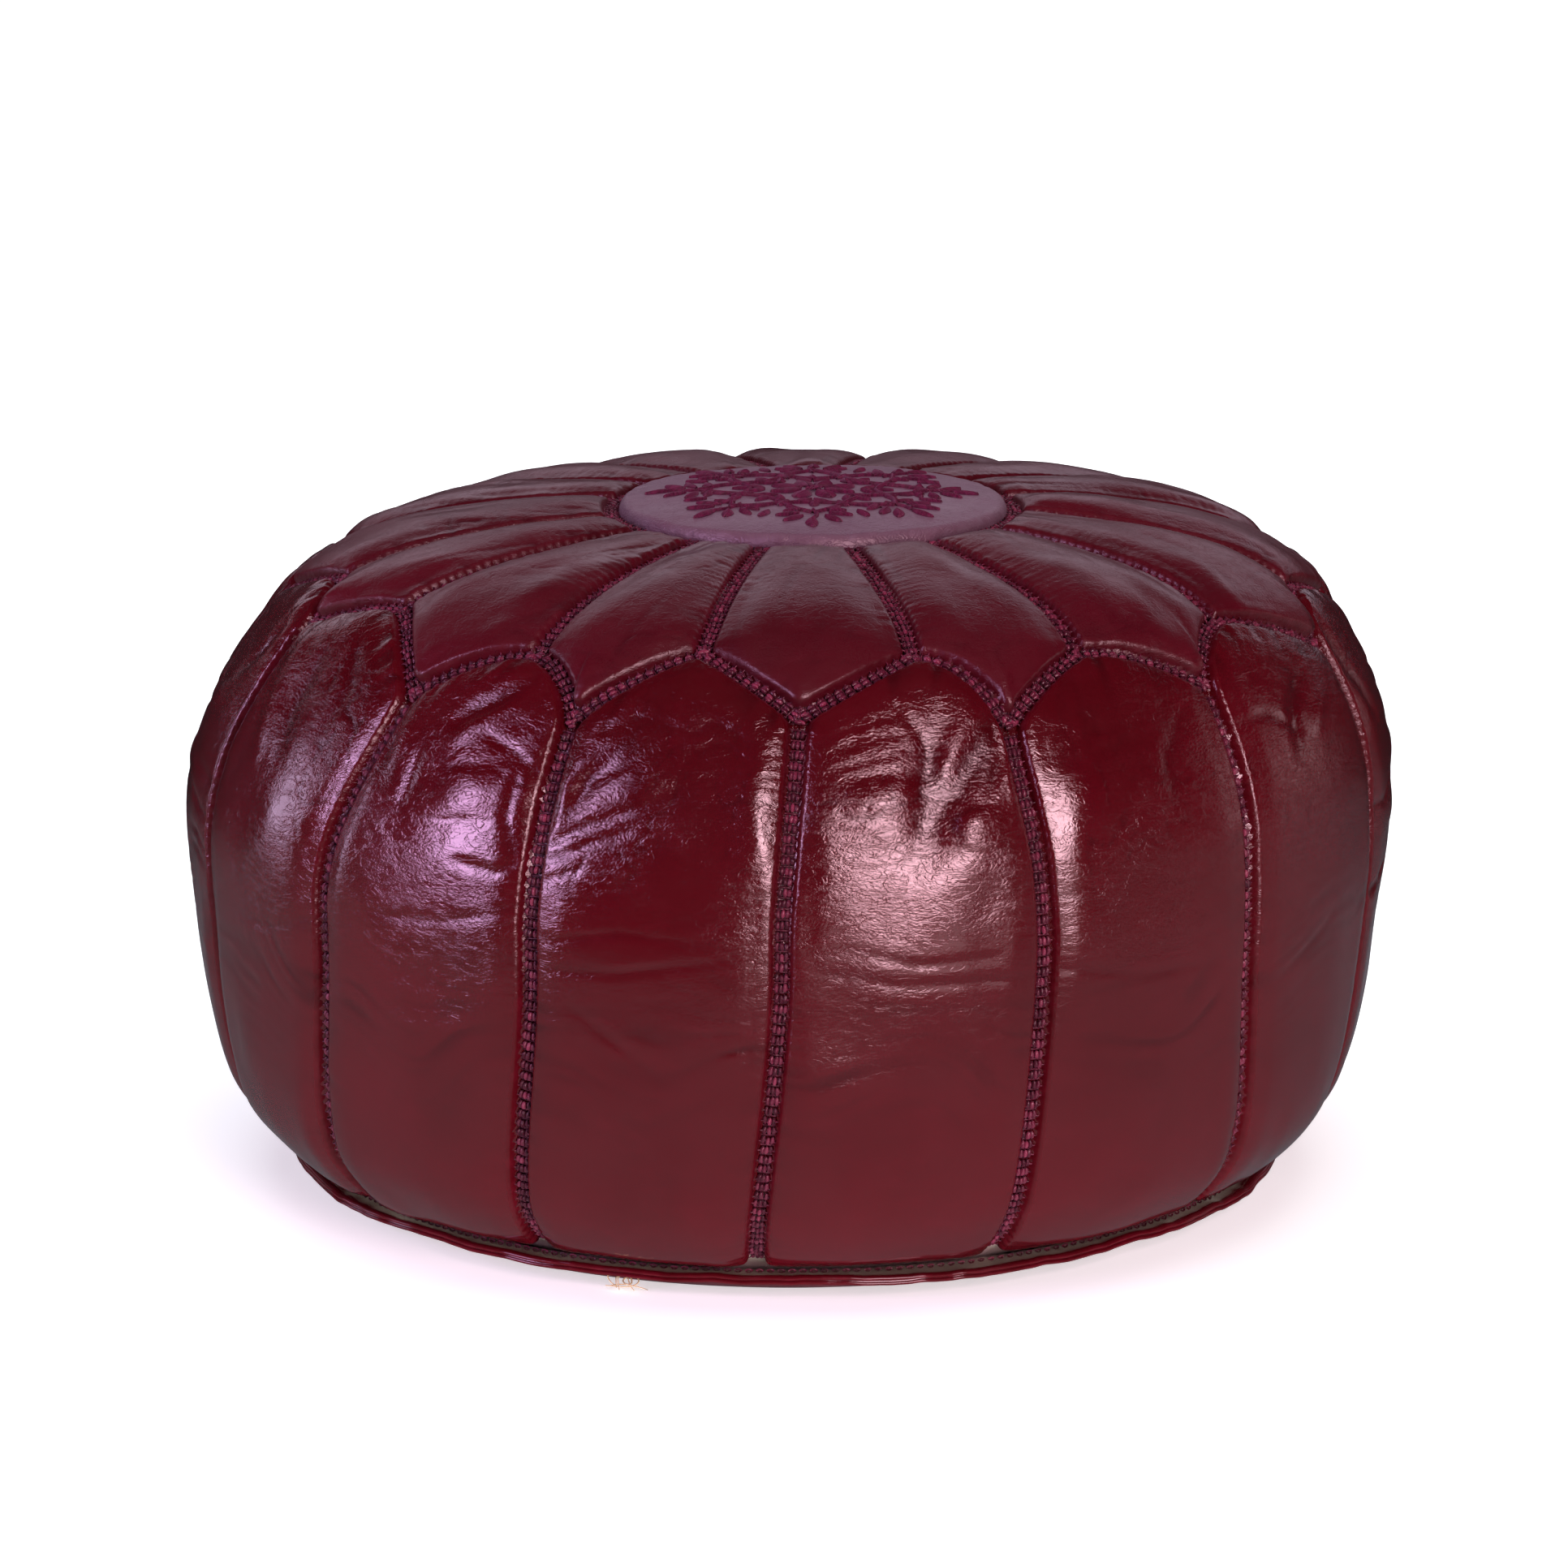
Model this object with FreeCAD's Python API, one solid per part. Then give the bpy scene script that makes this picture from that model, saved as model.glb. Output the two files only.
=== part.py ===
"""Round stuffed leather pouf: sixteen side panels, sixteen kite-shaped top petals and a round medallion,
joined by thick thread braids laid between the leather edges, with a welted base closed by a coil zip.

Frame: millimetres, +Z up, origin on the floor at the middle of the body. The front is -Y.
Angles are measured from the front (-Y) towards +X.
"""
import FreeCAD, Part
import math
import os

V = FreeCAD.Vector

# ---------------------------------------------------------------- driving dimensions (mm, degrees)
N_PANELS = 16                 # panels round the body
PITCH = 360.0 / N_PANELS      # 22.5 degrees
LEATHER = 2.0                 # leather with its paper-board backing
SEAM_DEPTH = 6.0              # how far a seam is drawn in below the crown of the panels
PUFF_WIDTH = 26.0             # distance from the seam over which a panel swells to its crown
BRAID_HALF = 2.75             # half width of a braid
ZIGZAG_HALF = 2.45            # the same along the zigzag, where the seam bends most
BRAID_THICK = 3.4             # thickness of a braid
EDGE_GAP = 3.5                # seam line to leather edge; the braid lies in it, clear of both edges

# crown profile of the body, (radius, height), from the floor contact up to the medallion
PROFILE = [(200.0, 0.0), (207.0, 2.0), (211.5, 5.5), (214.0, 9.5), (222.0, 15.5), (230.0, 22.0), (247.0, 45.0),
           (256.0, 80.0), (260.8, 119.0), (263.6, 158.0), (261.8, 184.0), (256.4, 207.0), (240.5, 238.5),
           (221.3, 262.5), (187.0, 280.6), (150.0, 288.3), (110.0, 292.4), (84.0, 293.6), (60.0, 294.4)]
WELT_POINT = 3                # index of the profile point at the base seam
S_VALLEY = 281.0              # arc position of the zigzag valleys (tops of the side seams)
S_PEAK = 312.5                # arc position of the zigzag peaks (tops of the arches)
RING_R = 88.0                 # radius of the braid ring round the medallion
MEDALLION_R = 84.6
MEDALLION_FLAT_R = 74.0
MEDALLION_TOP = 297.0
MEDALLION_EDGE = 293.2

# the crown of the body sits a little to the +X side of its base
LEAN = [(0.0, 0.0), (150.0, -0.7), (185.0, -0.7), (225.0, 2.0), (262.0, 5.0), (300.0, 7.5), (345.0, 10.0), (600.0, 11.0)]
# Hand-cut panels: how far each seam strays from its even place, in degrees, at the base, half way up and at the
# top of the side seams. The first entry is the seam at the front, and the rest follow towards +X.
SEAM_BASE = [-3.5, 0.0, 6.0, 6.0, 4.5, 3.0, 1.5, 0.0, -1.5, -3.0, -4.5, -6.0, -7.5, -8.0, -8.0, -5.2]
SEAM_MID = [-0.5, 1.0, 2.0, 5.5, 4.5, 3.4, 2.4, 1.5, 0.6, -0.4, -1.2, -2.0, -2.8, -3.3, -2.3, -1.0]
SEAM_TOP = [-0.55, -1.8, 0.7, 3.6, 3.3, 2.8, 2.2, 1.5, 1.0, 0.6, 0.2, -0.4, -1.2, -2.3, 1.4, -1.15]
# the same for the radial seams, which start half a pitch on, at the zigzag and at the medallion
RADIAL_OUT = [0.35, -2.5, -2.4, -0.75, 0.0, 0.5, 1.0, 1.5, 1.5, 1.5, 1.5, 1.5, 1.8, -0.2, 2.35, -1.0]
RADIAL_IN = [-1.2, -1.2, 2.6, 6.0, 8.0, 9.5, 7.5, 2.5, 0.3, -0.8, -3.0, -4.5, 1.5, 1.2, 0.3, -2.6]
# rise or fall of each zigzag valley and peak, mm along the profile
VALLEY_RISE = [0.0, -6.8, -3.2, -5.2, -3.0, 0.0, -2.0, -1.0, 1.0, -2.0, 0.0, 1.5, 4.0, 8.0, -5.5, -5.5]
PEAK_RISE = [-0.5, -6.5, -4.5, -8.0, -4.0, -2.0, -3.0, -1.0, -2.0, -3.0, -1.0, -1.0, 0.5, 2.0, -7.8, 1.2]
# roundness of the left and right half of each arch
ARCH_LEFT = [1.2, 1.2, 1.5, 1.5, 1.4, 1.5, 1.3, 1.5, 1.4, 1.5, 1.3, 1.5, 1.4, 1.6, 1.9, 1.3]
ARCH_RIGHT = [1.9, 1.9, 1.6, 1.5, 1.5, 1.4, 1.5, 1.3, 1.6, 1.4, 1.5, 1.6, 1.4, 1.4, 1.6, 1.2]

# welt: folded lip of the base seam
WELT_R_IN = 209.5
WELT_R_OUT = 221.5
WELT_Z = 8.6
WELT_THICK = 4.6

# base and its zip channel
BASE_FLAT_R = 200.0
BASE_RIM_R = 209.0
CHANNEL_H = 9.0               # the zip lies this far above the floor
CHANNEL_FLAT_Y = 12.0
CHANNEL_FADE_Y = 36.0
CHANNEL_FLAT_X = 168.0
CHANNEL_FADE_X = 192.0
SLOT_HALF_Y = 7.0
HALF_GAP = 0.25               # each base half stops this far from the middle line

# coil zip, size 5
COIL_W = 2.8
COIL_T = 2.4
COIL_Z = 11.0                 # middle of the chain
TAPE_T = 0.7
TAPE_Z = 11.35                # underside of the tape
TAPE_OUT = 16.0
ZIP_X0 = -152.0               # closed end of the chain
ZIP_X1 = 160.0                # end of the coils past the parked slider
SLIDER_X = 146.0              # slider parked, zip closed
SLIDER_LEN = 12.0
SLIDER_HALF_W = 5.7
PULL_LEN = 26.0
PULL_W = 7.6
PULL_T = 1.5

# lining and filling
LINING_OFFSET = 9.4           # lining below the crown profile
LINING_T = 0.8
FILL_GAP = 0.5

os.makedirs("parts", exist_ok=True)


# ---------------------------------------------------------------- helpers
class Monotone:
    """Monotone cubic through (x, y) points."""

    def __init__(self, xs, ys):
        n = len(xs)
        h = [xs[i + 1] - xs[i] for i in range(n - 1)]
        d = [(ys[i + 1] - ys[i]) / h[i] for i in range(n - 1)]
        m = [0.0] * n
        m[0], m[-1] = d[0], d[-1]
        for i in range(1, n - 1):
            if d[i - 1] * d[i] > 0:
                w1, w2 = 2 * h[i] + h[i - 1], h[i] + 2 * h[i - 1]
                m[i] = (w1 + w2) / (w1 / d[i - 1] + w2 / d[i])
        self.xs, self.ys, self.m, self.h = xs, ys, m, h

    def __call__(self, x):
        xs, ys, m, h = self.xs, self.ys, self.m, self.h
        if x <= xs[0]:
            return ys[0] + m[0] * (x - xs[0])
        if x >= xs[-1]:
            return ys[-1] + m[-1] * (x - xs[-1])
        i = 0
        while x > xs[i + 1]:
            i += 1
        t = (x - xs[i]) / h[i]
        t2, t3 = t * t, t * t * t
        return ((2 * t3 - 3 * t2 + 1) * ys[i] + (t3 - 2 * t2 + t) * h[i] * m[i]
                + (3 * t2 - 2 * t3) * ys[i + 1] + (t3 - t2) * h[i] * m[i + 1])


S_KNOTS = [0.0]
for (ra, za), (rb, zb) in zip(PROFILE, PROFILE[1:]):
    S_KNOTS.append(S_KNOTS[-1] + math.hypot(rb - ra, zb - za))
prof_r = Monotone(S_KNOTS, [p[0] for p in PROFILE])
prof_z = Monotone(S_KNOTS, [p[1] for p in PROFILE])
lean = Monotone([p[0] for p in LEAN], [p[1] for p in LEAN])
S_WELT = S_KNOTS[WELT_POINT]


def s_at_radius(r_want):
    lo, hi = 200.0, S_KNOTS[-1]
    for _ in range(60):
        mid = 0.5 * (lo + hi)
        if prof_r(mid) > r_want:
            lo = mid
        else:
            hi = mid
    return 0.5 * (lo + hi)


S_RING = s_at_radius(RING_R)


def smooth(t):
    t = max(0.0, min(1.0, t))
    return t * t * (3 - 2 * t)


def surface(theta, s, off):
    """Point of the body at angle theta, profile position s, moved off along the outward normal."""
    e = 0.5
    dr, dz = prof_r(s + e) - prof_r(s - e), prof_z(s + e) - prof_z(s - e)
    n = math.hypot(dr, dz)
    r = prof_r(s) + off * dz / n
    z = prof_z(s) - off * dr / n
    a = math.radians(theta)
    return V(r * math.sin(a) + lean(s), -r * math.cos(a), z)


def puff(d):
    """Depth below the crown at distance d from the nearest seam line."""
    t = max(0.0, min(1.0, (d - EDGE_GAP) / PUFF_WIDTH))
    return -SEAM_DEPTH * (1 - t) ** 2


def face_of(grid):
    surf = Part.BSplineSurface()
    surf.interpolate(grid)
    return surf


def slab(outer, inner):
    """Closed solid between two grids of points: two spline faces and four ruled rims."""
    so, si = face_of(outer), face_of(inner)
    faces = [so.toShape(), si.toShape()]
    for get in (lambda q: q.uIso(q.bounds()[0]), lambda q: q.uIso(q.bounds()[1]),
                lambda q: q.vIso(q.bounds()[2]), lambda q: q.vIso(q.bounds()[3])):
        faces.append(Part.makeRuledSurface(get(so).toShape(), get(si).toShape()))
    shell = Part.Shell(faces)
    shell.sewShape()
    solid = Part.Solid(shell)
    if solid.Volume < 0:
        solid.reverse()
    return solid


def export(name, shape):
    solids = shape.Solids
    bad = [i for i, q in enumerate(solids) if not q.isValid()]
    bb = shape.BoundBox
    print("%-26s solids %2d  vol %10.1f mm3  z %.1f..%.1f%s" % (
        name, len(solids), shape.Volume, bb.ZMin, bb.ZMax, "  INVALID %s" % bad if bad else ""))
    shape.exportStep("parts/%s.step" % name)


def seam_angle(k, s):
    """Angle of side seam k at profile position s."""
    i = k % N_PANELS
    if s < 180.0:
        t = smooth((s - 10.0) / 170.0)
        off = SEAM_BASE[i] + (SEAM_MID[i] - SEAM_BASE[i]) * t
    else:
        t = smooth((s - 180.0) / (S_VALLEY - 180.0))
        off = SEAM_MID[i] + (SEAM_TOP[i] - SEAM_MID[i]) * t
    return PITCH * k + off


def radial_angle(k, s):
    """Angle of the radial seam that leaves the peak after side seam k."""
    i = k % N_PANELS
    t = (s - S_PEAK) / (S_RING - S_PEAK)
    t = max(-0.3, min(1.0, t))
    return PITCH * (k + 0.5) + RADIAL_OUT[i] + (RADIAL_IN[i] - RADIAL_OUT[i]) * t


def arch(k, u):
    """(angle, profile position) of the zigzag line over side panel k, u across the panel."""
    i, j = k % N_PANELS, (k + 1) % N_PANELS
    peak = S_PEAK + PEAK_RISE[i]
    if u < 0.5:
        low, power = S_VALLEY + VALLEY_RISE[i], ARCH_LEFT[i]
    else:
        low, power = S_VALLEY + VALLEY_RISE[j], ARCH_RIGHT[i]
    s = low + (peak - low) * (1 - abs(2 * u - 1) ** power)
    a, b = seam_angle(k, 400.0), seam_angle(k + 1, 400.0)
    c = (PITCH * (k + 0.5) + RADIAL_OUT[i] - a) / (b - a) - 0.5
    return a + (b - a) * (u + 4 * c * u * (1 - u)), s


def seam_margin(k, s):
    """Angle from the seam line to the leather edge, allowing for the slant of the seam."""
    slant = math.radians(seam_angle(k, s + 3.0) - seam_angle(k, s - 3.0)) * prof_r(s) / 6.0
    return math.degrees(EDGE_GAP * math.sqrt(1 + slant * slant) / prof_r(s))


def arch_margin(k, u):
    """Distance along the profile that clears the braid at u."""
    e = 0.01
    a0, s0 = arch(k, max(0.0, u - e))
    a1, s1 = arch(k, min(1.0, u + e))
    dx = math.radians(a1 - a0) * prof_r(0.5 * (s0 + s1))
    return EDGE_GAP * math.sqrt(1 + min(4.0, ((s1 - s0) / dx) ** 2))


# ---------------------------------------------------------------- side panels
U_SIDE = [0.0, 0.05, 0.12, 0.22, 0.36, 0.5, 0.64, 0.78, 0.88, 0.95, 1.0]
V_SIDE = [0.0, 0.03, 0.07, 0.13, 0.2, 0.28, 0.36, 0.44, 0.52, 0.6, 0.67, 0.74, 0.8, 0.86, 0.91, 0.95, 0.98, 1.0]
S_SIDE_LOW = S_WELT + 4.5


def side_panel(k):
    outer, inner = [], []
    a0, b0 = seam_angle(k, 400.0), seam_angle(k + 1, 400.0)
    warp = (PITCH * (k + 0.5) + RADIAL_OUT[k % N_PANELS] - a0) / (b0 - a0) - 0.5
    for u in U_SIDE:
        ro, ri = [], []
        top = arch(k, u)[1] - arch_margin(k, u)
        for v in V_SIDE:
            s = S_SIDE_LOW + v * (top - S_SIDE_LOW)
            c = warp * smooth((s - 190.0) / 78.0)
            left = seam_angle(k, s) + seam_margin(k, s)
            right = seam_angle(k + 1, s) - seam_margin(k + 1, s)
            a = left + (right - left) * (u + 4 * c * u * (1 - u))
            width = math.radians(right - left) * prof_r(s)
            d = min(min(u, 1 - u) * width, top - s, 1.6 * (s - S_SIDE_LOW)) + EDGE_GAP
            o = puff(d)
            ro.append(surface(a, s, o))
            ri.append(surface(a, s, o - LEATHER))
        outer.append(ro)
        inner.append(ri)
    return slab(outer, inner)


for k in range(N_PANELS):
    export("side_panel_%02d" % (k + 1), side_panel(k))

# ---------------------------------------------------------------- top petals
U_PETAL = [0.0, 0.06, 0.15, 0.28, 0.4, 0.46, 0.5, 0.54, 0.6, 0.72, 0.85, 0.94, 1.0]
V_PETAL = [0.0, 0.05, 0.12, 0.22, 0.35, 0.5, 0.65, 0.8, 0.9, 1.0]


def petal_low(k, u):
    """(angle, profile position) of the lower edge of petal k, clear of the braid."""
    w = abs(2 * u - 1)
    w = math.sqrt(w * w + 0.0025) / math.sqrt(1.0025)         # tip rounded a little
    kk, us = (k, 0.5 * w) if u >= 0.5 else (k - 1, 1.0 - 0.5 * w)
    a, s = arch(kk, us)
    if w < 0.06:
        a = seam_angle(k, 400.0)
        s = 0.5 * (arch(k, 0.5 * w)[1] + arch(k - 1, 1.0 - 0.5 * w)[1])
    return a, s + arch_margin(kk, us)


def top_petal(k):
    outer, inner = [], []
    top = S_RING - EDGE_GAP
    for u in U_PETAL:
        ro, ri = [], []
        a_low, low = petal_low(k, u)
        for v in V_PETAL:
            s = low + v * (top - low)
            edge = math.degrees(EDGE_GAP / prof_r(s))
            left, right = radial_angle(k - 1, s) + edge, radial_angle(k, s) - edge
            l0 = radial_angle(k - 1, low) + math.degrees(EDGE_GAP / prof_r(low))
            r0 = radial_angle(k, low) - math.degrees(EDGE_GAP / prof_r(low))
            f_low = max(0.0, min(1.0, (a_low - l0) / (r0 - l0)))
            if u in (0.0, 1.0):
                f_low = u
            f = (1 - v) * f_low + v * u
            a = left + (right - left) * f
            width = math.radians(right - left) * prof_r(s)
            d = min(min(f, 1 - f) * width, top - s, 0.8 * (s - low)) + EDGE_GAP
            o = puff(d)
            ro.append(surface(a, s, o))
            ri.append(surface(a, s, o - LEATHER))
        outer.append(ro)
        inner.append(ri)
    return slab(outer, inner)


for k in range(N_PANELS):
    export("top_petal_%02d" % (k + 1), top_petal(k))


# ---------------------------------------------------------------- braids
def braid(path, half=BRAID_HALF):
    """Flat bar along path, a list of (theta, s): rounded a little across its back."""
    outer, inner = [], []
    n = len(path)
    across = [-1.0, -0.6, 0.0, 0.6, 1.0]
    for i in range(n):
        a0, s0 = path[max(0, i - 1)]
        a1, s1 = path[min(n - 1, i + 1)]
        a, s = path[i]
        r = prof_r(s)
        tx, ts = math.radians(a1 - a0) * r, s1 - s0
        q = math.hypot(tx, ts)
        nx, ns = ts / q, -tx / q
        ro, ri = [], []
        for c in across:
            w = c * half
            aa, ss = a + math.degrees(w * nx / r), s + w * ns
            lift = BRAID_THICK - 1.0 * c * c
            ro.append(surface(aa, ss, -SEAM_DEPTH - LEATHER + lift))
            ri.append(surface(aa, ss, -SEAM_DEPTH - LEATHER))
        outer.append(ro)
        inner.append(ri)
    return slab(outer, inner)


def span(a, b, n):
    return [a + (b - a) * i / (n - 1.0) for i in range(n)]


side_braids = []
for k in range(N_PANELS):
    top = S_VALLEY + VALLEY_RISE[k] - 6.5
    side_braids.append(braid([(seam_angle(k, s), s) for s in span(S_WELT + 6.0, top, 22)]))
export("side_seam_braids", Part.Compound(side_braids))

zig_braids = []
for k in range(N_PANELS):
    zig_braids.append(braid([arch(k, u) for u in span(0.036, 0.964, 25)], ZIGZAG_HALF))
export("zigzag_seam_braids", Part.Compound(zig_braids))

radial_braids = []
for k in range(N_PANELS):
    lo, hi = S_PEAK + PEAK_RISE[k] + BRAID_HALF + 0.8, S_RING - BRAID_HALF - 0.5
    radial_braids.append(braid([(radial_angle(k, s), s) for s in span(lo, hi, 8)]))
export("radial_seam_braids", Part.Compound(radial_braids))

# braid ring round the medallion
ring_x = lean(S_RING)
zr = prof_z(S_RING) - SEAM_DEPTH - LEATHER
ring_pts = [(RING_R - BRAID_HALF, zr), (RING_R + BRAID_HALF, zr), (RING_R + BRAID_HALF, zr + BRAID_THICK - 1.0),
            (RING_R, zr + BRAID_THICK), (RING_R - BRAID_HALF, zr + BRAID_THICK - 1.0)]
edges = [Part.LineSegment(V(ring_pts[0][0], 0, ring_pts[0][1]), V(ring_pts[1][0], 0, ring_pts[1][1])).toShape(),
         Part.LineSegment(V(ring_pts[1][0], 0, ring_pts[1][1]), V(ring_pts[2][0], 0, ring_pts[2][1])).toShape(),
         Part.Arc(V(ring_pts[2][0], 0, ring_pts[2][1]), V(ring_pts[3][0], 0, ring_pts[3][1]),
                  V(ring_pts[4][0], 0, ring_pts[4][1])).toShape(),
         Part.LineSegment(V(ring_pts[4][0], 0, ring_pts[4][1]), V(ring_pts[0][0], 0, ring_pts[0][1])).toShape()]
ring = Part.Face(Part.Wire(edges)).revolve(V(0, 0, 0), V(0, 0, 1), 360)
ring.translate(V(ring_x, 0, 0))
export("medallion_seam_braid", ring)

# ---------------------------------------------------------------- medallion and its embroidery
edge_z = MEDALLION_EDGE - SEAM_DEPTH + 1.0


def line(p, q):
    return Part.LineSegment(V(p[0], 0, p[1]), V(q[0], 0, q[1])).toShape()


def revolved(points, arcs=()):
    """Solid of revolution about +Z; points are (r, z); arcs maps an index to a middle point."""
    es = []
    arcs = dict(arcs)
    n = len(points)
    for i in range(n):
        p, q = points[i], points[(i + 1) % n]
        if i in arcs:
            m = arcs[i]
            es.append(Part.Arc(V(p[0], 0, p[1]), V(m[0], 0, m[1]), V(q[0], 0, q[1])).toShape())
        else:
            es.append(line(p, q))
    return Part.Face(Part.Wire(es)).revolve(V(0, 0, 0), V(0, 0, 1), 360)


T = LEATHER
medallion = revolved(
    [(0, MEDALLION_TOP - T), (MEDALLION_FLAT_R, MEDALLION_TOP - T), (MEDALLION_R - T, edge_z),
     (MEDALLION_R, edge_z), (MEDALLION_FLAT_R, MEDALLION_TOP), (0, MEDALLION_TOP)],
    {1: (MEDALLION_R - T - 2.9, MEDALLION_TOP - T - 3.2), 3: (MEDALLION_R - 2.9, MEDALLION_TOP - 2.8)})
medallion.translate(V(ring_x, 0, 0))
export("medallion", medallion)

EMB_Z = MEDALLION_TOP + 0.1
EMB_T = 0.8


def leaf(cx, cy, length, width, ang):
    """Pointed leaf of satin stitch, lying flat."""
    a = math.radians(ang)
    c, s = math.cos(a), math.sin(a)

    def p(x, y):
        return V(cx + x * c - y * s, cy + x * s + y * c, EMB_Z)
    h = length / 2.0
    w = Part.Wire([Part.Arc(p(-h, 0), p(0, width / 2.0), p(h, 0)).toShape(),
                   Part.Arc(p(h, 0), p(0, -width / 2.0), p(-h, 0)).toShape()])
    return Part.Face(w).extrude(V(0, 0, EMB_T))


motif = [Part.makeCylinder(4.2, EMB_T, V(ring_x, 0, EMB_Z))]
for i in range(8):
    a = 45.0 * i + 22.5
    c, s = math.cos(math.radians(a)), math.sin(math.radians(a))
    motif.append(leaf(ring_x + 12.2 * c, 12.2 * s, 14.0, 6.4, a))
for i in range(8):
    a = 45.0 * i
    for r, da, ln, wd, tilt in ((30, 0, 17, 6.0, 0), (43, -12, 15, 5.6, -58), (43, 12, 15, 5.6, 58),
                                (55, -8, 16, 5.6, -40), (55, 8, 16, 5.6, 40), (62, 0, 16, 5.8, 0)):
        b = math.radians(a + da)
        motif.append(leaf(ring_x + r * math.cos(b), r * math.sin(b), ln, wd, a + da + tilt))
export("medallion_embroidery", Part.Compound(motif))

# ---------------------------------------------------------------- base welt
wz, wt = WELT_Z, WELT_THICK / 2.0
welt = revolved([(WELT_R_IN, wz - wt), (WELT_R_OUT - wt, wz - wt), (WELT_R_OUT - wt, wz + wt), (WELT_R_IN, wz + wt)],
                {1: (WELT_R_OUT, wz)})
export("base_welt", welt)


# ---------------------------------------------------------------- base halves
HAT = [(0.0, 1.0), (CHANNEL_FLAT_Y, 1.0), (18.0, 0.87), (24.0, 0.5), (30.0, 0.13), (CHANNEL_FADE_Y, 0.0)]
FADE = [(-192.0, 0.0), (-186.0, 0.13), (-180.0, 0.5), (-174.0, 0.87), (-168.0, 1.0),
        (168.0, 1.0), (174.0, 0.87), (180.0, 0.5), (186.0, 0.13), (192.0, 0.0)]


rim = revolved([(0, 0), (BASE_FLAT_R, 0), (BASE_RIM_R, 5.0), (BASE_RIM_R - T, 5.0 + 0.4), (BASE_FLAT_R - 0.6, T), (0, T)],
               {1: (BASE_FLAT_R + 5.147, 1.335), 3: (BASE_FLAT_R + 3.66, 2.742)})


def base_half(sign):
    """Half of the base: flat plate with its rim, and the raised channel along the zip."""
    wires = []
    for x, h in FADE:
        low = [V(x, sign * y, CHANNEL_H * h * q) for y, q in HAT]
        high = [p + V(0, 0, T) for p in reversed(low)]
        pts = low + high
        wires.append(Part.makePolygon(pts + [pts[0]]))
    flap = Part.makeLoft(wires, True, True)
    y0 = 0.0 if sign > 0 else -260.0
    half = rim.common(Part.makeBox(600, 260, 40, V(-300, y0, -5)))
    wy = 0.0 if sign > 0 else -CHANNEL_FADE_Y
    half = half.cut(Part.makeBox(2 * CHANNEL_FADE_X, CHANNEL_FADE_Y, 40, V(-CHANNEL_FADE_X, wy, -5)))
    body = half.fuse(flap)
    body = body.cut(Part.makeBox(600, 2 * HALF_GAP, 60, V(-300, -HALF_GAP, -5)))
    body = body.cut(Part.makeBox(2 * CHANNEL_FLAT_X, 2 * SLOT_HALF_Y, 60, V(-CHANNEL_FLAT_X, -SLOT_HALF_Y, -5)))
    return body


export("base_half_back", base_half(1))
export("base_half_front", base_half(-1))

# ---------------------------------------------------------------- zip
SX = SLIDER_X


def splay(x):
    """How far the coils part at x, round the wedge of the parked slider."""
    return 2.0 * smooth((x - (SX - 2.0)) / 6.0)


def strip(sign, y0, y1, z0, z1, xs, par=True):
    lo, hi = [], []
    for x in xs:
        dy = splay(x) if par else 0.0
        a, b = sign * (y0 + dy), sign * (y1 + (dy if par != "inner" else 0.0))
        lo.append([V(x, a, z0), V(x, b, z0)])
        hi.append([V(x, a, z1), V(x, b, z1)])
    # closed solid from four ruled bands and two ends
    def band(p, q):
        grid = [[p[i], q[i]] for i in range(len(p))]
        return face_of(grid)
    w0 = [r[0] for r in lo], [r[1] for r in lo], [r[1] for r in hi], [r[0] for r in hi]
    curves = []
    for pts in w0:
        c = Part.BSplineCurve()
        c.interpolate(pts, Parameters=[float(x) for x in xs])
        curves.append(c.toShape())
    faces = [Part.makeRuledSurface(curves[i], curves[(i + 1) % 4]) for i in range(4)]
    for j in (0, -1):
        q = [w0[i][j] for i in range(4)]
        faces.append(Part.Face(Part.makePolygon(q + [q[0]])))
    sh = Part.Shell(faces)
    sh.sewShape()
    so = Part.Solid(sh)
    if so.Volume < 0:
        so.reverse()
    return so


ZXS = [ZIP_X0, -100.0, 0.0, 80.0, 120.0, 136.0, SX - 4.5, SX - 3.0, SX - 1.5, SX, SX + 1.5, SX + 3.0, SX + 4.5,
       SX + 7.0, ZIP_X1]
TXS = [ZIP_X0 - 12] + ZXS + [ZIP_X1 + 6]
for nm, sg in (("back", 1), ("front", -1)):
    export("zip_coil_%s" % nm, strip(sg, 0.12, 0.12 + COIL_W, COIL_Z - COIL_T / 2, COIL_Z + COIL_T / 2, ZXS))
    export("zip_tape_%s" % nm, strip(sg, 0.32 + COIL_W, TAPE_OUT, TAPE_Z, TAPE_Z + TAPE_T, TXS, "inner"))

# stops: one clamp across both coils at the closed end, one on each coil past the slider
def clamp(x, y0, y1, length):
    outer = Part.makeBox(length, y1 - y0 + 2.0, COIL_T + 2.0, V(x, y0 - 1.0, COIL_Z - COIL_T / 2 - 1.0))
    hole = Part.makeBox(length + 2, y1 - y0 + 0.5, COIL_T + 0.3, V(x - 1, y0 - 0.25, COIL_Z - COIL_T / 2 - 0.15))
    slit = Part.makeBox(length + 2, 40, TAPE_T + 0.3, V(x - 1, -20, TAPE_Z - 0.15))
    return outer, hole, slit


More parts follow.
